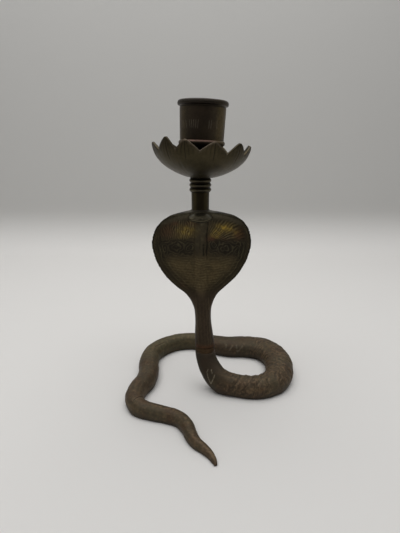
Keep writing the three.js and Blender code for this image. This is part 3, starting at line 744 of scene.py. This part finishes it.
class CANDLEHOLDER_OT_coil(bpy.types.Operator):
    """Tail, coil and heel"""
    bl_idname = "candle_holder.make_coil"
    bl_label = "Coil casting"

    def execute(self, context):
        # Cast brass, chased by hand, browned: matt, reddish clouds, crests worn pale with a painted
        # highlight, painted shade below
        brass = aged_brass("chased_cast_brass", finish_of().coil_patina, "#523a26", 0.62, (
            ("olive", "#57523a", 0.8), ("valley", "#2b2519", 0.75), ("streak", "#6b573f", 0.5),
            ("crest", "#7b654c", 0.45), ("crease", "#1c1811", 0.85), ("heel", "#2f271c", 0.8),
            ("mark", "#b5ab94", 0.65)), mottle=0.7, grain_mm=0.5, metal=0.55, speck_mm=2.2, blotchy=0.3)
        piece = cast_skin("coil_casting", "cobra_coil", height_of("neck_braze", 0), voxel=0.5 * MM)
        mesh = piece.data
        points = points_of(mesh) / MM - FOOT
        along, around, whole = along_body(points)
        # The lumps are deepest on the right bend, and the heel and the underside are left smooth
        heel = ramp(along, whole - 34, whole - 18)
        right_bend = ramp(along, whole * 0.6, whole * 0.7) * (1 - heel)
        store(mesh, "along", along * MM)
        store(mesh, "around", around)
        store(mesh, "chased", (0.12 + 0.88 * right_bend) * ramp(points[:, 2], 1.5, 4.5) * (1 - 0.9 * heel))
        store(mesh, "free", ramp(points[:, 2], 22, 14) * ramp(points[:, 2], 0.2, 1.5))
        piece = worked(piece, chasing_tree(), {
            "Scale length": 4.8 * MM, "Scales around": 6, "Depth": 0.75 * MM,
            "Lump size": 7 * MM, "Unevenness": 0.75 * MM, "Finish": brass})
        mesh = piece.data
        points, normals = points_of(mesh) / MM - FOOT, normals_of(mesh)
        crease = ramp(normals[:, 2], -0.2, 0.2) * np.maximum.reduce(
            [strength * cuts(points[:, :2], [line], 1.5) for line, strength in BEND_CREASES])
        near_side, in_front, behind = ramp(normals[:, 1], -0.1, -0.4), points[:, 1] < -6, points[:, 1] > 25
        mark = np.maximum(
            near_side * in_front * cuts(points[:, [0, 2]], HEEL_WEDGE, 0.65),
            0.34 * (near_side * behind) * cuts(points[:, [0, 2]], BACK_ROW, 1.4))
        points -= normals * (0.45 * crease + 0.15 * mark)[:, None]
        points[:, 2] = np.maximum(points[:, 2], 0.0)
        mean = neighbour_mean(points, edges_of(mesh))
        move_points(mesh, (points + FOOT) * MM)
        across, back, up = points.T
        # Painted shade darkens the underside, and the coil is olive where it was handled least
        store(mesh, "crease", np.maximum(crease, 0.8 * ramp(normals[:, 2], 0.3, -0.5)))
        store(mesh, "mark", mark)
        patches = ramp(wobble(across, back, 14.0, 0.8), -0.3, 0.5)
        store(mesh, "olive", np.maximum(ramp(back, 12, 26) * ramp(across, 6, -4), 0.35 * patches))
        # Crests: paler from wear, and a painted highlight
        store(mesh, "crest", ramp(((points - mean) * normals).sum(axis=1), 0.004, 0.03) * ramp(up, 1, 3))
        back_run = ramp(back, 22, 28) * ramp(across, -2, 8) * ramp(across, 50, 36)
        store(mesh, "heel", np.maximum(heel * ramp(up - 0.9 * across, -3, 9), 0.4 * back_run))
        mesh.shade_smooth()
        place_piece(piece, "holder", "coil_brass", "coil_casting")
        return {"FINISHED"}


def hood_outline(points, crown):
    """The hood's middle at each height, and points along its edge, in millimetres."""
    step, low, edge_step = 0.5, 34.0, 0.4
    rows = np.floor((points[:, 2] - low) / step).astype(int)
    count = int((crown - 0.3 - low) / step)
    kept = (rows >= 0) & (rows < count)
    left, right = np.full(count, np.inf), np.full(count, -np.inf)
    np.minimum.at(left, rows[kept], points[kept, 0])
    np.maximum.at(right, rows[kept], points[kept, 0])
    heights = low + step * (np.arange(count) + 0.5)
    edge = np.concatenate([np.stack([left, heights], axis=1), np.stack([right, heights], axis=1)[::-1]])
    lengths = np.concatenate([[0], np.cumsum(np.linalg.norm(np.diff(edge, axis=0), axis=1))])
    spots = np.arange(0, lengths[-1], edge_step)
    edge = np.stack([np.interp(spots, lengths, edge[:, axis]) for axis in (0, 1)], axis=1)
    return heights, (left + right) / 2, edge


def lines_of(distance, pitch, width=0.5):
    """A row of hand-cut lines a pitch apart, 1 in the middle of each."""
    return ramp(np.cos(math.tau * distance / pitch), 1 - 2 * width, 1)


def hood_engraving(points, normals, crown):
    """Engraved lines and tints of the hood's front."""
    heights, middles, edge = hood_outline(points, crown)
    z = points[:, 2]
    u = points[:, 0] - np.interp(z, heights, middles)
    near = nearest(points[:, [0, 2]], edge)
    inside = np.linalg.norm(points[:, [0, 2]] - edge[near], axis=1)
    front = ramp(normals[:, 1], 0.1, -0.25)
    left, right = ramp(u, -3.6, -4.8), ramp(u, 3.6, 4.8)
    bright, dark = np.zeros(len(z)), np.zeros(len(z))
    uneven, fine = wobble(u, z, 9.0, 0.4), wobble(u, z, 4.0, 1.9)
    # The cutter pressed harder here and there
    pressed = 0.55 + 0.45 * wobble(u, z, 6.5, 2.6)

    # Bright lines are the cuts; a row of dark lines half a pitch beside them is their painted shadow
    def add(tone, lines, strength):
        np.maximum(tone, np.clip(lines * strength, 0, 1) * front, out=tone)

    def glow(*spots):
        return np.maximum.reduce([
            strength * np.exp(-(((u - across) / wide) ** 2 + ((z - up) / tall) ** 2))
            for strength, across, up, wide, tall in spots])

    # Upper field: upright strokes on one side, a fan crossed by slanted cuts on the other
    sill = 99.6 + 0.8 * uneven
    top = ramp(z, sill, sill + 1.8) * ramp(inside, 2.2, 4.2) * ramp(z, 113.5, 111.5)
    upright = u + 0.13 * (z - 106) + 0.6 * uneven + 0.35 * fine
    add(bright, lines_of(upright, 1.3) * top * left * (0.2 + 0.8 * ramp(u, -19, -14)), 0.6 * pressed)
    add(dark, lines_of(upright + 0.65, 1.3) * top * left, 0.3 + 0.7 * pressed)
    fan = np.arctan2(z - 94.0, u - 1.0) * 15.0 + 0.35 * uneven
    add(bright, lines_of(fan, 1.3) * top * right * ramp(u, 23, 17), 0.5 * pressed)
    add(dark, lines_of(fan + 0.65, 1.3) * top * right, 0.3 + 0.6 * pressed)
    slanted = lines_of(0.8 * u - 0.6 * z + 0.4 * fine, 1.4)
    add(dark, slanted * top * right * ramp(z, 102, 104), 0.2 + 0.5 * pressed)
    add(dark, stroke(z - 100.3 - 0.9 * uneven, 1.2) * (left + right) * ramp(inside, 3, 5), 0.55)

    # Middle field: loops that wander into each other, dark and faint
    band = ramp(z + 1.4 * uneven, 84, 94) * ramp(z + 1.2 * uneven, 102, 98) * ramp(inside, 1.5, 4)
    across, up = u + 0.8 * uneven, z + 0.8 * fine
    loops = np.minimum.reduce([
        np.hypot((across - middle) * narrow, up - height) for middle, height, narrow in
        ((-15.0, 95.5, 0.8), (-7.0, 95.0, 1.2), (14.5, 94.6, 0.75), (8.0, 97.0, 1.3), (21.5, 93.5, 1.6),
         (-22.0, 94.0, 1.7))])
    add(bright, lines_of(loops, 1.75, 0.4) * band * (left + right), 0.24 * (pressed + 0.2))
    add(dark, lines_of(loops + 0.85, 1.75, 0.45) * band * (left + right), 0.5)

    # Arcs along both sides, and a row of short ticks inside the edge
    flank = ramp(inside, 2.6, 3.4) * ramp(inside, 8.0, 7.0) * ramp(z, 66, 72) * ramp(z, 101, 97)
    add(bright, lines_of(inside + 0.4 * uneven, 2.0, 0.35) * flank, 0.3 * (pressed + 0.3))
    margin = ramp(inside, 0.7, 1.2) * ramp(inside, 2.6, 2.0) * ramp(z, 64, 68) * ramp(z, 114, 112)
    add(bright, lines_of(0.4 * near + 1.2 * inside, 1.8, 0.4) * margin, 0.22 * (pressed + 0.3))

    # Rib: hammered, with a dark cut down its right side and deep nicks in its middle
    rib = ramp(np.abs(u), 4.2, 3.2)
    add(bright, rib * ramp(fine, 0.1, 0.7) * ramp(z, 92, 98) * ramp(z, 112, 109), 0.14)
    add(dark, stroke(u + 4.3, 1.2) * ramp(z, 74, 84) * ramp(z, 111, 109), 0.45)
    add(dark, stroke(u - 3.4 - 0.3 * uneven, 1.7) * ramp(z, 84, 92) * ramp(z, 112, 110), 1.0)
    add(dark, stroke(u - 1.4 - 0.2 * fine, 1.9) * ramp(z, 89, 91) * ramp(z, 98.5, 97), 1.0)
    add(dark, stroke(u + 0.9, 1.0) * ramp(z, 93, 95) * ramp(z, 104, 101), 0.6)

    # Lower field: belly plates, level lines that fade towards the neck
    level = z - 0.007 * u * u + 0.35 * uneven
    belly = ramp(z, 64, 71) * ramp(z, 91, 88.5) * ramp(inside, 2.5, 5)
    add(bright, lines_of(level, 1.6, 0.45) * belly, 0.26 * pressed)
    add(dark, lines_of(level + 0.8, 1.6, 0.45) * belly, 0.4 * pressed)

    # Neck: lines that run down it
    neck = ramp(z, 30, 34) * ramp(z, 70, 58)
    for place, strength in ((-3.9, 0.35), (-1.7, 0.2), (0.6, 0.15), (2.4, 0.25), (4.1, 0.4)):
        add(bright, stroke(u - place + 0.25 * fine, 0.9) * neck, 0.55 * strength)
        add(dark, stroke(u - place - 0.9 + 0.25 * fine, 0.9) * neck, 0.7 * strength)

    # Where a gold reflection is painted, and where the oxide is reddish: strength, place across and up,
    # width and height
    shine = glow((0.75, -9.5, 105.5, 5.0, 3.6), (1.25, 13.5, 107.6, 5.0, 2.8), (0.95, 8.5, 104.0, 3.0, 2.8),
                 (0.4, 20.0, 105.0, 3.0, 2.6))
    cut = 0.45 + 0.55 * ramp(wobble(u, z, 3.4, 4.4), -0.5, 0.6)
    rosy = glow((0.5, -20.5, 106.0, 4.0, 4.5), (1.1, -16.5, 110.6, 2.6, 1.5), (0.5, -6.5, 110.5, 3.5, 1.5),
                (0.6, 22.5, 104.0, 3.0, 4.0), (1.0, 5.5, 100.8, 2.5, 1.6), (0.5, 13.0, 100.5, 3.5, 1.5),
                (0.5, -14.0, 70.5, 5.0, 3.0))
    return {
        "bright": bright,
        "dark": dark,
        # Painted gold reflection of the bright floor, high on the hood
        "painted_gold_reflection": shine * cut * front * top,
        "rosy": rosy * front * ramp(inside, 1.5, 3.5) * (0.75 + 0.25 * uneven),
        # Painted reflection: a paler tan across the lower field
        "tan": front * ramp(z, 58, 72) * ramp(z, 93, 84) * ramp(inside, 2, 10) * (0.85 + 0.15 * uneven),
        # Painted dark reflection across the middle band, and darker along the top
        "painted_dark_band": front * np.maximum(0.9 * band * ramp(np.abs(u), 3.5, 6), 0.3 * ramp(z, 110, 113)),
        "rib": front * rib * ramp(z, 88, 96),
        "edge_dark": np.maximum(ramp(inside, 2.6, 0.5), 0.6 * ramp(inside, 9, 3)) * ramp(z, 58, 70),
        "neck_dark": ramp(z, 74, 62),
        "copper": ramp(z, 33.5, 30.0),
    }


def head_marks(points, crown):
    """Mouth, lips, nostrils, eyes and eye rings, placed from the post's axis and down from the crown."""
    spots = np.stack([points[:, 0] - SIGHT_OFFSET, -points[:, 1], crown - points[:, 2]], axis=1)
    x, forward, down = spots.T
    on_head = ramp(forward, 3.5, 5) * ramp(down, 8, 7) * (np.abs(x) < 7.2)
    bow = 0.042 * x * x
    mouth = stroke(down - 5.4 + bow, 0.8) * on_head
    upper, snout = stroke(down - 4.5 + bow, 0.8), stroke(down - 1.7 - 0.2 * (forward - 11), 0.7)
    lips = np.maximum(upper, snout) * on_head * ramp(forward, 6, 9)
    pits = np.maximum.reduce([
        ramp(np.linalg.norm(spots - pit, axis=1), size, 0) for pit, size in
        (((0.3, 12.6, 3.3), 0.65), ((2.1, 12.4, 3.3), 0.6), ((1.2, 12.2, 1.9), 0.6))])
    reach = np.minimum.reduce([np.linalg.norm(spots - (way * 6.3, 9.2, 2.4), axis=1) for way in (-1, 1)])
    return mouth, lips, pits, ramp(reach, 0.85, 0.4), stroke(reach - 1.15, 0.55)


class CANDLEHOLDER_OT_hood(bpy.types.Operator):
    """Neck, hood, crown and head"""
    bl_idname = "candle_holder.make_hood"
    bl_label = "Hood casting"

    def execute(self, context):
        colours = finish_of()
        # Cast brass, engraved, under near-black oxide; gold, tan and a dark band on it are painted
        # reflections
        brass = aged_brass("engraved_cast_brass", colours.hood_patina, "#473e2d", 0.44, (
            ("tan", "#6b5d41", 0.8), ("rib", "#3c372b", 0.7), ("painted_gold_reflection", colours.painted_gold_reflection, 0.9),
            ("rosy", "#6b3f2b", 0.6), ("painted_dark_band", "#211f1b", 0.85), ("neck_dark", "#3f342b", 0.8),
            ("copper", "#5a3a24", 0.6), ("edge_dark", "#1c1912", 0.8), ("crown", "#6f6957", 0.8),
            ("dark", "#0f0c08", 0.85), ("bright", "#8f8664", 0.55)), grain_mm=0.4, metal=0.92)
        joint = height_of("neck_braze", 1)

        def faces_front(face):
            return face.normal.y < -0.12 and face.calc_center_median().z > joint + 2 * MM
        piece = cast_skin("hood_casting", "cobra_hood", joint, voxel=0.56 * MM, finer=faces_front)
        mesh = piece.data
        points, normals = points_of(mesh) / MM - FOOT, normals_of(mesh)
        crown = height_of("post_braze", 0) / MM
        tints = hood_engraving(points, normals, crown)
        mouth, lips, pits, eyes, rings = head_marks(points, crown)
        on_head = ramp(-points[:, 1], 4.5, 6) * ramp(points[:, 2], crown - 8.5, crown - 7)
        for name in ("bright", "dark", "painted_gold_reflection", "rosy", "painted_dark_band"):
            tints[name] = tints[name] * (1 - on_head)
        depth = 0.16 * tints["bright"] + 0.2 * tints["dark"]
        depth += 0.3 * mouth - 0.12 * lips + 0.3 * pits + 0.16 * rings - 0.12 * eyes
        move_points(mesh, (points - normals * depth[:, None] + FOOT) * MM)
        tints["dark"] = np.maximum.reduce([tints["dark"], mouth, pits, rings])
        # The lips get a painted highlight
        tints["bright"] = np.maximum(tints["bright"], 0.45 * lips)
        # Painted light: the crown's upward faces round the post, and the head, are made paler
        painted_crown_light = ramp(points[:, 2], crown - 5, crown - 2) * ramp(np.abs(points[:, 0]), 11, 7)
        tints["crown"] = np.maximum(painted_crown_light * ramp(normals[:, 2], 0.3, 0.7), 0.6 * on_head)
        for name, values in tints.items():
            store(mesh, name, values)
        mesh.materials.append(brass)
        mesh.shade_smooth()
        place_piece(piece, "holder", "hood_brass", "hood_casting")
        return {"FINISHED"}


class CANDLEHOLDER_OT_braze(bpy.types.Operator):
    """Brazing metal at the neck and at the post's foot"""
    bl_idname = "candle_holder.make_braze"
    bl_label = "Brazing"

    def execute(self, context):
        # Brazing metal, filed flush: coppery where the neck was joined, as dark as the rest at the post
        copper = aged_brass("filed_brazing_metal", finish_of().braze, "#41321f", 0.5, metal=0.85)
        dark = aged_brass("blackened_brazing_metal", "#565044", "#4a4132", 0.5, metal=0.7)
        band = points_of(frame["nodes"]["neck_braze"].data) / MM
        low, high = band.min(axis=0), band.max(axis=0)
        half_width, half_depth, tall = (high - low) / (2, 2, 1)
        hole, edge = 3.3, half_width - 0.12
        rows = [(hole, 0.0), (edge, 0.0), (half_width, tall * 0.3), (half_width, tall * 0.7), (edge, tall),
                (hole, tall), (hole, 0.0)]
        centre = Vector(((low[0] + high[0]) / 2 * MM, (low[1] + high[1]) / 2 * MM, low[2] * MM))
        piece = turned_piece("neck_brazing", rows, {}, copper, centre, rounding=0.15, step=0.8,
                             stretch=half_depth / half_width)
        place_piece(piece, "holder", "braze", "neck_braze")
        inner, width, tall = 5.3, 0.45, 0.6
        rows = moulding(inner, width, 0.0, tall, ((0, 0), (1, 0), (0.45, 0.35), (0.15, 1), (0, 1), (0, 0)))
        centre = on_post(height_of("post_braze", 0))
        piece = turned_piece("post_brazing", rows, {}, dark, centre)
        place_piece(piece, "holder", "braze", "post_braze")
        return {"FINISHED"}


class CANDLEHOLDER_OT_post(bpy.types.Operator):
    """Post and ringed collar"""
    bl_idname = "candle_holder.make_post"
    bl_label = "Post and collar"

    def execute(self, context):
        # Brass turned smooth and blackened by age: fine lines run round it; dark reflections, groove shade
        # and ring highlights are painted
        brass = aged_brass("turned_blackened_brass", finish_of().post_patina, "#463e27", 0.4, (
            ("painted_dark_reflection", "#17110a", 0.85), ("shadow", "#0a0806", 0.85), ("shine", "#85806f", 0.28)),
            grain_mm=0.3, metal=0.92)
        slope = math.tan(lean)
        foot, top = height_of("post_braze", 0) / MM, height_of("post", 1) / MM
        collar_top = screw_point.z / MM
        tenon, tenon_foot, bore = 2.8, height_of("post", 0) / MM - foot, 3.3
        tall = top - foot
        hole_foot = top - 7.2 - foot
        rows = [(0.0, tenon_foot), (tenon, tenon_foot), (tenon, 0.0), (5.15, 0.0), (5.2, tall * 0.5),
                (5.25, tall), (bore, tall), (bore, hole_foot), (0.0, hole_foot)]
        marks = {"slant": lambda x, z: float(abs(x - bore) < 0.2 and z > hole_foot - 0.1)}
        piece = turned_piece("turned_post", rows, marks, brass, on_post(foot * MM), rounding=0.12, step=1.2,
                             filed=((collar_top - foot) * MM, slope))
        place_piece(with_painted_sheens(piece), "holder", "turned_brass", "post")
        outer, groove, rings = 6.4, 0.6, 3
        tall = collar_top - top
        rows = [(bore, 0.0)]
        for i in range(rings):
            rows += moulding(outer, -1, i * tall / rings, tall / rings, (
                (groove, 0.0), (groove * 0.9, 0.12), (0.14, 0.27), (0.06, 0.36), (0.0, 0.4), (0.0, 0.58),
                (0.06, 0.62), (0.14, 0.73), (groove * 0.9, 0.88)))
        over = tall + outer * slope
        rows += [(outer - groove, tall), (outer - groove, over), (bore, over), (bore, 0.0)]
        # Painted highlight on the rings' crests, painted shadow in the grooves
        marks = {
            "slant": lambda x, z: float(x < bore + 0.2),
            "shine": lambda x, z: float(x > outer - 0.04),
            "shadow": lambda x, z: float(bore + 1 < x < outer - 0.3),
        }
        piece = turned_piece("beaded_collar", rows, marks, brass, on_post(top * MM), step=0.5,
                             filed=(tall * MM, slope))
        place_piece(with_painted_sheens(piece), "holder", "turned_brass", "ringed_collar")
        return {"FINISHED"}


def petal_tips(rim_points):
    """Turn of every petal's tip from the front, in degrees, found from the solid's highest points."""
    turns = np.degrees(np.arctan2(rim_points[:, 1], rim_points[:, 0])) + 90
    columns = {}
    for turn, height in zip(np.round(turns % 360, 1), rim_points[:, 2]):
        columns[turn] = max(height, columns.get(turn, -1.0))
    order = sorted(columns)
    tops = [columns[turn] for turn in order]
    return [order[i] for i in range(len(order))
            if tops[i] > tops[i - 1] and tops[i] >= tops[(i + 1) % len(order)]]


class CANDLEHOLDER_OT_pan(bpy.types.Operator):
    """Lotus drip pan"""
    bl_idname = "candle_holder.make_pan"
    bl_label = "Drip pan"

    def execute(self, context):
        colours = finish_of()
        # Sheet brass, raised and hand cut into petals: soft dark patina, cut edges worn to a dull pink with
        # a painted highlight
        brass = aged_brass("raised_sheet_brass", colours.pan_patina, "#48402e", 0.46, (
            ("vein", "#15110b", 0.85), ("rim", colours.worn, 0.7)), mottle=0.8, metal=0.92)
        sharp_turn, smooth_turn = math.radians(50), math.radians(55)
        hole_width, front_notch = 16, 358.0

        def creased(edge):
            return edge.is_manifold and edge.calc_face_angle(0) > sharp_turn
        mesh = quad_copy("drip_pan", "lotus_pan", creased)
        rim = np.zeros(len(mesh.vertices))
        rim[edges_of(mesh)[values_of(mesh.attributes["crease_edge"].data) > 0.5].ravel()] = 1.0
        to_local = np.array(leaning.inverted())

        def local(points):
            return (points @ to_local[:3, :3].T + to_local[:3, 3]) / MM
        flat = local(points_of(mesh))
        rim[np.hypot(flat[:, 0], flat[:, 1]) < hole_width] = 0.0
        store(mesh, "rim", rim)
        tips = np.array(petal_tips(flat))
        piece = subdivided(new_piece("lotus_pan", mesh), 2)
        mesh = piece.data
        points, normals = points_of(mesh), normals_of(mesh)
        flat = local(points)
        radius, height = np.hypot(flat[:, 0], flat[:, 1]), flat[:, 2]
        turns = (np.degrees(np.arctan2(flat[:, 1], flat[:, 0])) + 90) % 360
        off = (turns[:, None] - tips[None] + 180) % 360 - 180
        across = np.abs(off).min(axis=1) / 180 * math.pi * radius
        outward = (normals[:, :2] * flat[:, :2]).sum(axis=1) / np.maximum(radius, 1e-3)
        outside = ramp(outward, 0.1, 0.4) * ramp(radius, 19, 23)
        narrowing = 1 - 0.75 * ramp(height, 15.0, 21.5)
        veins = outside * ramp(height, 21.0, 19.5) * np.maximum.reduce([
            stroke(across - spread * narrowing, 0.9) * ramp(height, low, low + 2) * strength
            for spread, low, strength in ((0.0, 9.5, 1.0), (2.2, 11.5, 0.8), (4.4, 12.5, 0.6))])
        move_points(mesh, points - normals * (0.16 * MM * veins)[:, None])
        # The cut edge's wear and painted highlight are strongest at the notch in front
        front = ramp(np.abs((turns - front_notch + 180) % 360 - 180), 34, 18)
        worn = ramp(values_of(mesh.attributes["rim"].data), 0.8, 1.0)
        store(mesh, "rim", worn * (0.15 + 0.85 * front))
        store(mesh, "vein", veins)
        mesh.materials.append(brass)
        mesh.shade_smooth()
        mesh.set_sharp_from_angle(angle=smooth_turn)
        place_piece(piece, "pan", "turned_brass", "drip_pan")
        return {"FINISHED"}


class CANDLEHOLDER_OT_cup(bpy.types.Operator):
    """Candle cup"""
    bl_idname = "candle_holder.make_cup"
    bl_label = "Candle cup"

    def execute(self, context):
        sizes = sizes_of()
        # Brass turned and blackened by candle smoke, strokes left pale; upright dark reflections, soft
        # sheens and the base bead's highlight are painted
        brass = aged_brass("smoked_brass_with_painted_sheens", finish_of().cup_patina, "#524633", 0.42, (
            ("painted_dark_reflection", "#31271f", 0.7), ("painted_side_sheen", "#7d6c47", 0.55), ("shadow", "#120e0a", 0.85),
            ("strokes", "#a09686", 0.45), ("shine", "#6d5249", 0.65)), mottle=0.8, grain_mm=0.3, metal=0.78)
        bore = sizes.candle_bore / 2 / MM
        body = bore + sizes.cup_wall / MM
        low_body = body - 0.55
        rim, floor, base, bead_tall, lip_tall = 41.6, 21.2, 17.2, 3.6, 3.0
        lip_reach, bead_reach = 1.3, 0.7
        waist, stem_reach, shoulder, spigot, length = 3.8, 0.7, 2.4, 3.0, 14.6
        bead_top, lip_foot = base + bead_tall, rim - lip_tall
        # Spigot, stem, base bead, body, lip with its fine grooves, and the bore down to its floor
        rows = [(0.0, -length), (spigot - 0.6, -length), (spigot, -length + 0.6), (spigot, 0.2),
                (spigot, shoulder)]
        rows += moulding(waist, stem_reach, shoulder, base - shoulder, (
            (1, 0), (1, 0.09), (0, 0.18), (0, 0.68), (1, 0.86), (2.2, 0.96)))
        rows += moulding(low_body, bead_reach, base, bead_tall, (
            (-1.6, 0.04), (-0.5, 0.14), (0.7, 0.36), (1, 0.52), (1, 0.68), (0.7, 0.84), (0.15, 0.94)))
        rows += [(low_body - 0.1, bead_top), (low_body, bead_top + 0.3)]
        rows += moulding(low_body, body - low_body, bead_top + 0.3, lip_foot - 0.8 - bead_top, (
            (0.5, 0.5), (0.97, 0.97)))
        rows += [(body - 0.12, lip_foot - 0.35)]
        rows += moulding(body, lip_reach, lip_foot, lip_tall, (
            (0, 0), (0.3, 0.05), (0.75, 0.12), (0.93, 0.22), (0.97, 0.3), (0.84, 0.36), (0.98, 0.42),
            (1, 0.5), (0.97, 0.58), (0.82, 0.63), (0.9, 0.69), (0.8, 0.78), (0.55, 0.9), (0.3, 0.98)))
        rows += moulding(body, 1, rim, 1, ((0.2, 0), (0, -0.25), (-0.2, 0)))
        rows += moulding(bore, 1, rim, 1, ((0.75, 0), (0.6, -0.2), (0.45, -0.1), (0, -0.55)))
        rows += [(bore, floor), (0.0, floor)]
        band_low, band_high = (height - screw_point.z / MM for height in (163.2, 167.3))

        def step(point):
            if point[1] < shoulder - 1 and point[0] > 2:
                return sizes.thread_pitch / MM / 8
            return 0.4 if point[0] > low_body - 0.3 and band_low - 2 < point[1] < band_high + 2 else 0.9

        def band(x, z):
            on = x > bore + 0.5 and band_low <= z <= band_high
            return (z - band_low) / (band_high - band_low) if on else MARKS["band"]

        def shadow(x, z):
            under_lip = x > low_body - 0.2 and abs(z - (lip_foot - 0.3)) < 0.3
            in_bore = x <= bore + 0.05 and z < rim - 6
            return float(under_lip or in_bore or (x > body + 0.3 and z > lip_foot))

        def thread(x, z):
            return float(ramp(z, -length + 0.4, -length + 1.2) * ramp(z, 0.6, -0.4) * (x > 2.5))

        # Painted highlight along the top of the base bead
        def shine(x, z):
            return float(ramp(abs(z - base - bead_tall * 0.88), 0.75, 0.3) * (x > low_body - 0.3))
        marks = {"thread": thread, "band": band, "shine": shine, "shadow": shadow}
        piece = with_painted_sheens(turned_piece(
            "taper_cup", rows, marks, brass, screw_point, rounding=0.14, step=step, sides=288, tilt=lean,
            strokes=(66, 0.2, 0.14 * MM, 4)))
        # The base bead's painted highlight is kept to the front
        front = ramp(np.cos(turn_from_front(piece)), 0.7, 0.95)
        store(piece.data, "shine", values_of(piece.data.attributes["shine"].data) * (0.15 + 0.85 * front))
        place_piece(piece, "cup", "turned_brass", "candle_cup")
        return {"FINISHED"}


OPERATORS = (
    CANDLEHOLDER_OT_stage,
    CANDLEHOLDER_OT_coil,
    CANDLEHOLDER_OT_hood,
    CANDLEHOLDER_OT_braze,
    CANDLEHOLDER_OT_post,
    CANDLEHOLDER_OT_pan,
    CANDLEHOLDER_OT_cup,
)


class CANDLEHOLDER_PT_pieces(bpy.types.Panel):
    """Pieces of the candle holder"""
    bl_idname = "CANDLEHOLDER_PT_pieces"
    bl_label = "Cobra candle holder"
    bl_space_type = "VIEW_3D"
    bl_region_type = "UI"
    bl_category = "Candle holder"

    def draw(self, context):
        for operator in OPERATORS:
            self.layout.operator(operator.bl_idname)
        for group in (context.scene.holder_sizes, context.scene.holder_finish):
            for key in group.bl_rna.properties.keys()[2:]:
                self.layout.prop(group, key)


CLASSES = (HolderFinish, HolderSizes, *OPERATORS, CANDLEHOLDER_PT_pieces)


def register():
    for item in CLASSES:
        bpy.utils.register_class(item)
    bpy.types.Scene.holder_finish = bpy.props.PointerProperty(type=HolderFinish)
    bpy.types.Scene.holder_sizes = bpy.props.PointerProperty(type=HolderSizes)


def unregister():
    del bpy.types.Scene.holder_sizes
    del bpy.types.Scene.holder_finish
    for item in reversed(CLASSES):
        bpy.utils.unregister_class(item)


def main():
    register()
    for operator in OPERATORS:
        group, name = operator.bl_idname.split(".")
        getattr(getattr(bpy.ops, group), name)()


if __name__ == "__main__":
    main()
